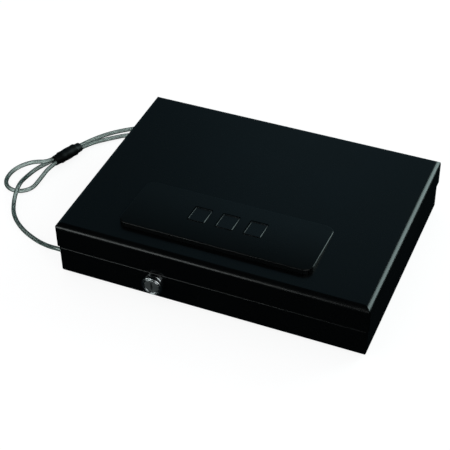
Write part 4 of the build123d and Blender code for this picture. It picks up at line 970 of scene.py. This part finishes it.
def look_at_case(scene):
    """The camera: from the front right and above, through a long lens."""
    deselect()
    forward = Vector((-0.30512, 0.69661, -0.64933))
    up = Vector((-0.24029, 0.60346, 0.76032))
    right = forward.cross(up)
    turn = Matrix((right, up, -forward)).transposed()
    bpy.ops.object.camera_add(location=(0.32381, -0.80097, 0.75568), rotation=turn.to_euler())
    camera = named("camera")
    camera.data.lens = 102.47
    camera.data.sensor_width = 36.0
    camera.data.clip_start = 0.01
    scene.camera = camera
    scene.view_settings.view_transform = "Standard"


class CASE_OT_stage(bpy.types.Operator):
    """Set the floor, the sky, the lamps, the dark tent that the gloss shows, and the camera"""

    bl_idname = "security_case.stage"
    bl_label = "Stage"

    def execute(self, context):
        scene = context.scene
        lights = scene.stage_lights
        white_sweep()
        reflection_tent()
        even_sky(scene, lights.sky)
        card("front_strip_lamp", (-0.56, -0.82, 0.12), 1.7, 1.3, 0.36,
             lights.front_strip, "#f2fbfa")
        card("right_fill_lamp", (0.52, -0.76, 0.38), 1.8, 1.5, 0.8, lights.fill, "#f6fbfb")
        card("rear_lamp", (0.58, 0.70, 0.32), 1.8, 1.0, 1.25, lights.rear_lamp, "#dffbf8")
        look_at_case(scene)
        return {"FINISHED"}


# ======================================================================= add-on
PIECES = [
    CASE_OT_stage, CASE_OT_cable, CASE_OT_shells, CASE_OT_hinge, CASE_OT_panel, CASE_OT_lock,
    CASE_OT_foam, CASE_OT_latch, CASE_OT_electronics,
]
SETTINGS = [
    (CaseFinishes, "case_finishes"), (CableSizes, "cable_sizes"), (StageLights, "stage_lights"),
]


class CASE_PT_sidebar(bpy.types.Panel):
    """The pieces of the case, each with its own button"""

    bl_idname = "CASE_PT_sidebar"
    bl_label = "Security case"
    bl_space_type = "VIEW_3D"
    bl_region_type = "UI"
    bl_category = "Security case"

    def draw(self, context):
        for group, name in SETTINGS:
            box = self.layout.box()
            for item in group.__annotations__:
                box.prop(getattr(context.scene, name), item)
        for piece in PIECES:
            self.layout.operator(piece.bl_idname)


def register():
    for group, name in SETTINGS:
        bpy.utils.register_class(group)
        setattr(bpy.types.Scene, name, bpy.props.PointerProperty(type=group))
    for item in (*PIECES, CASE_PT_sidebar):
        bpy.utils.register_class(item)


def unregister():
    for item in reversed((*PIECES, CASE_PT_sidebar)):
        bpy.utils.unregister_class(item)
    for group, name in reversed(SETTINGS):
        delattr(bpy.types.Scene, name)
        bpy.utils.unregister_class(group)


def main():
    """Build every piece in order."""
    register()
    for piece in PIECES:
        group, name = piece.bl_idname.split(".")
        getattr(getattr(bpy.ops, group), name)()


if __name__ == "__main__":
    main()
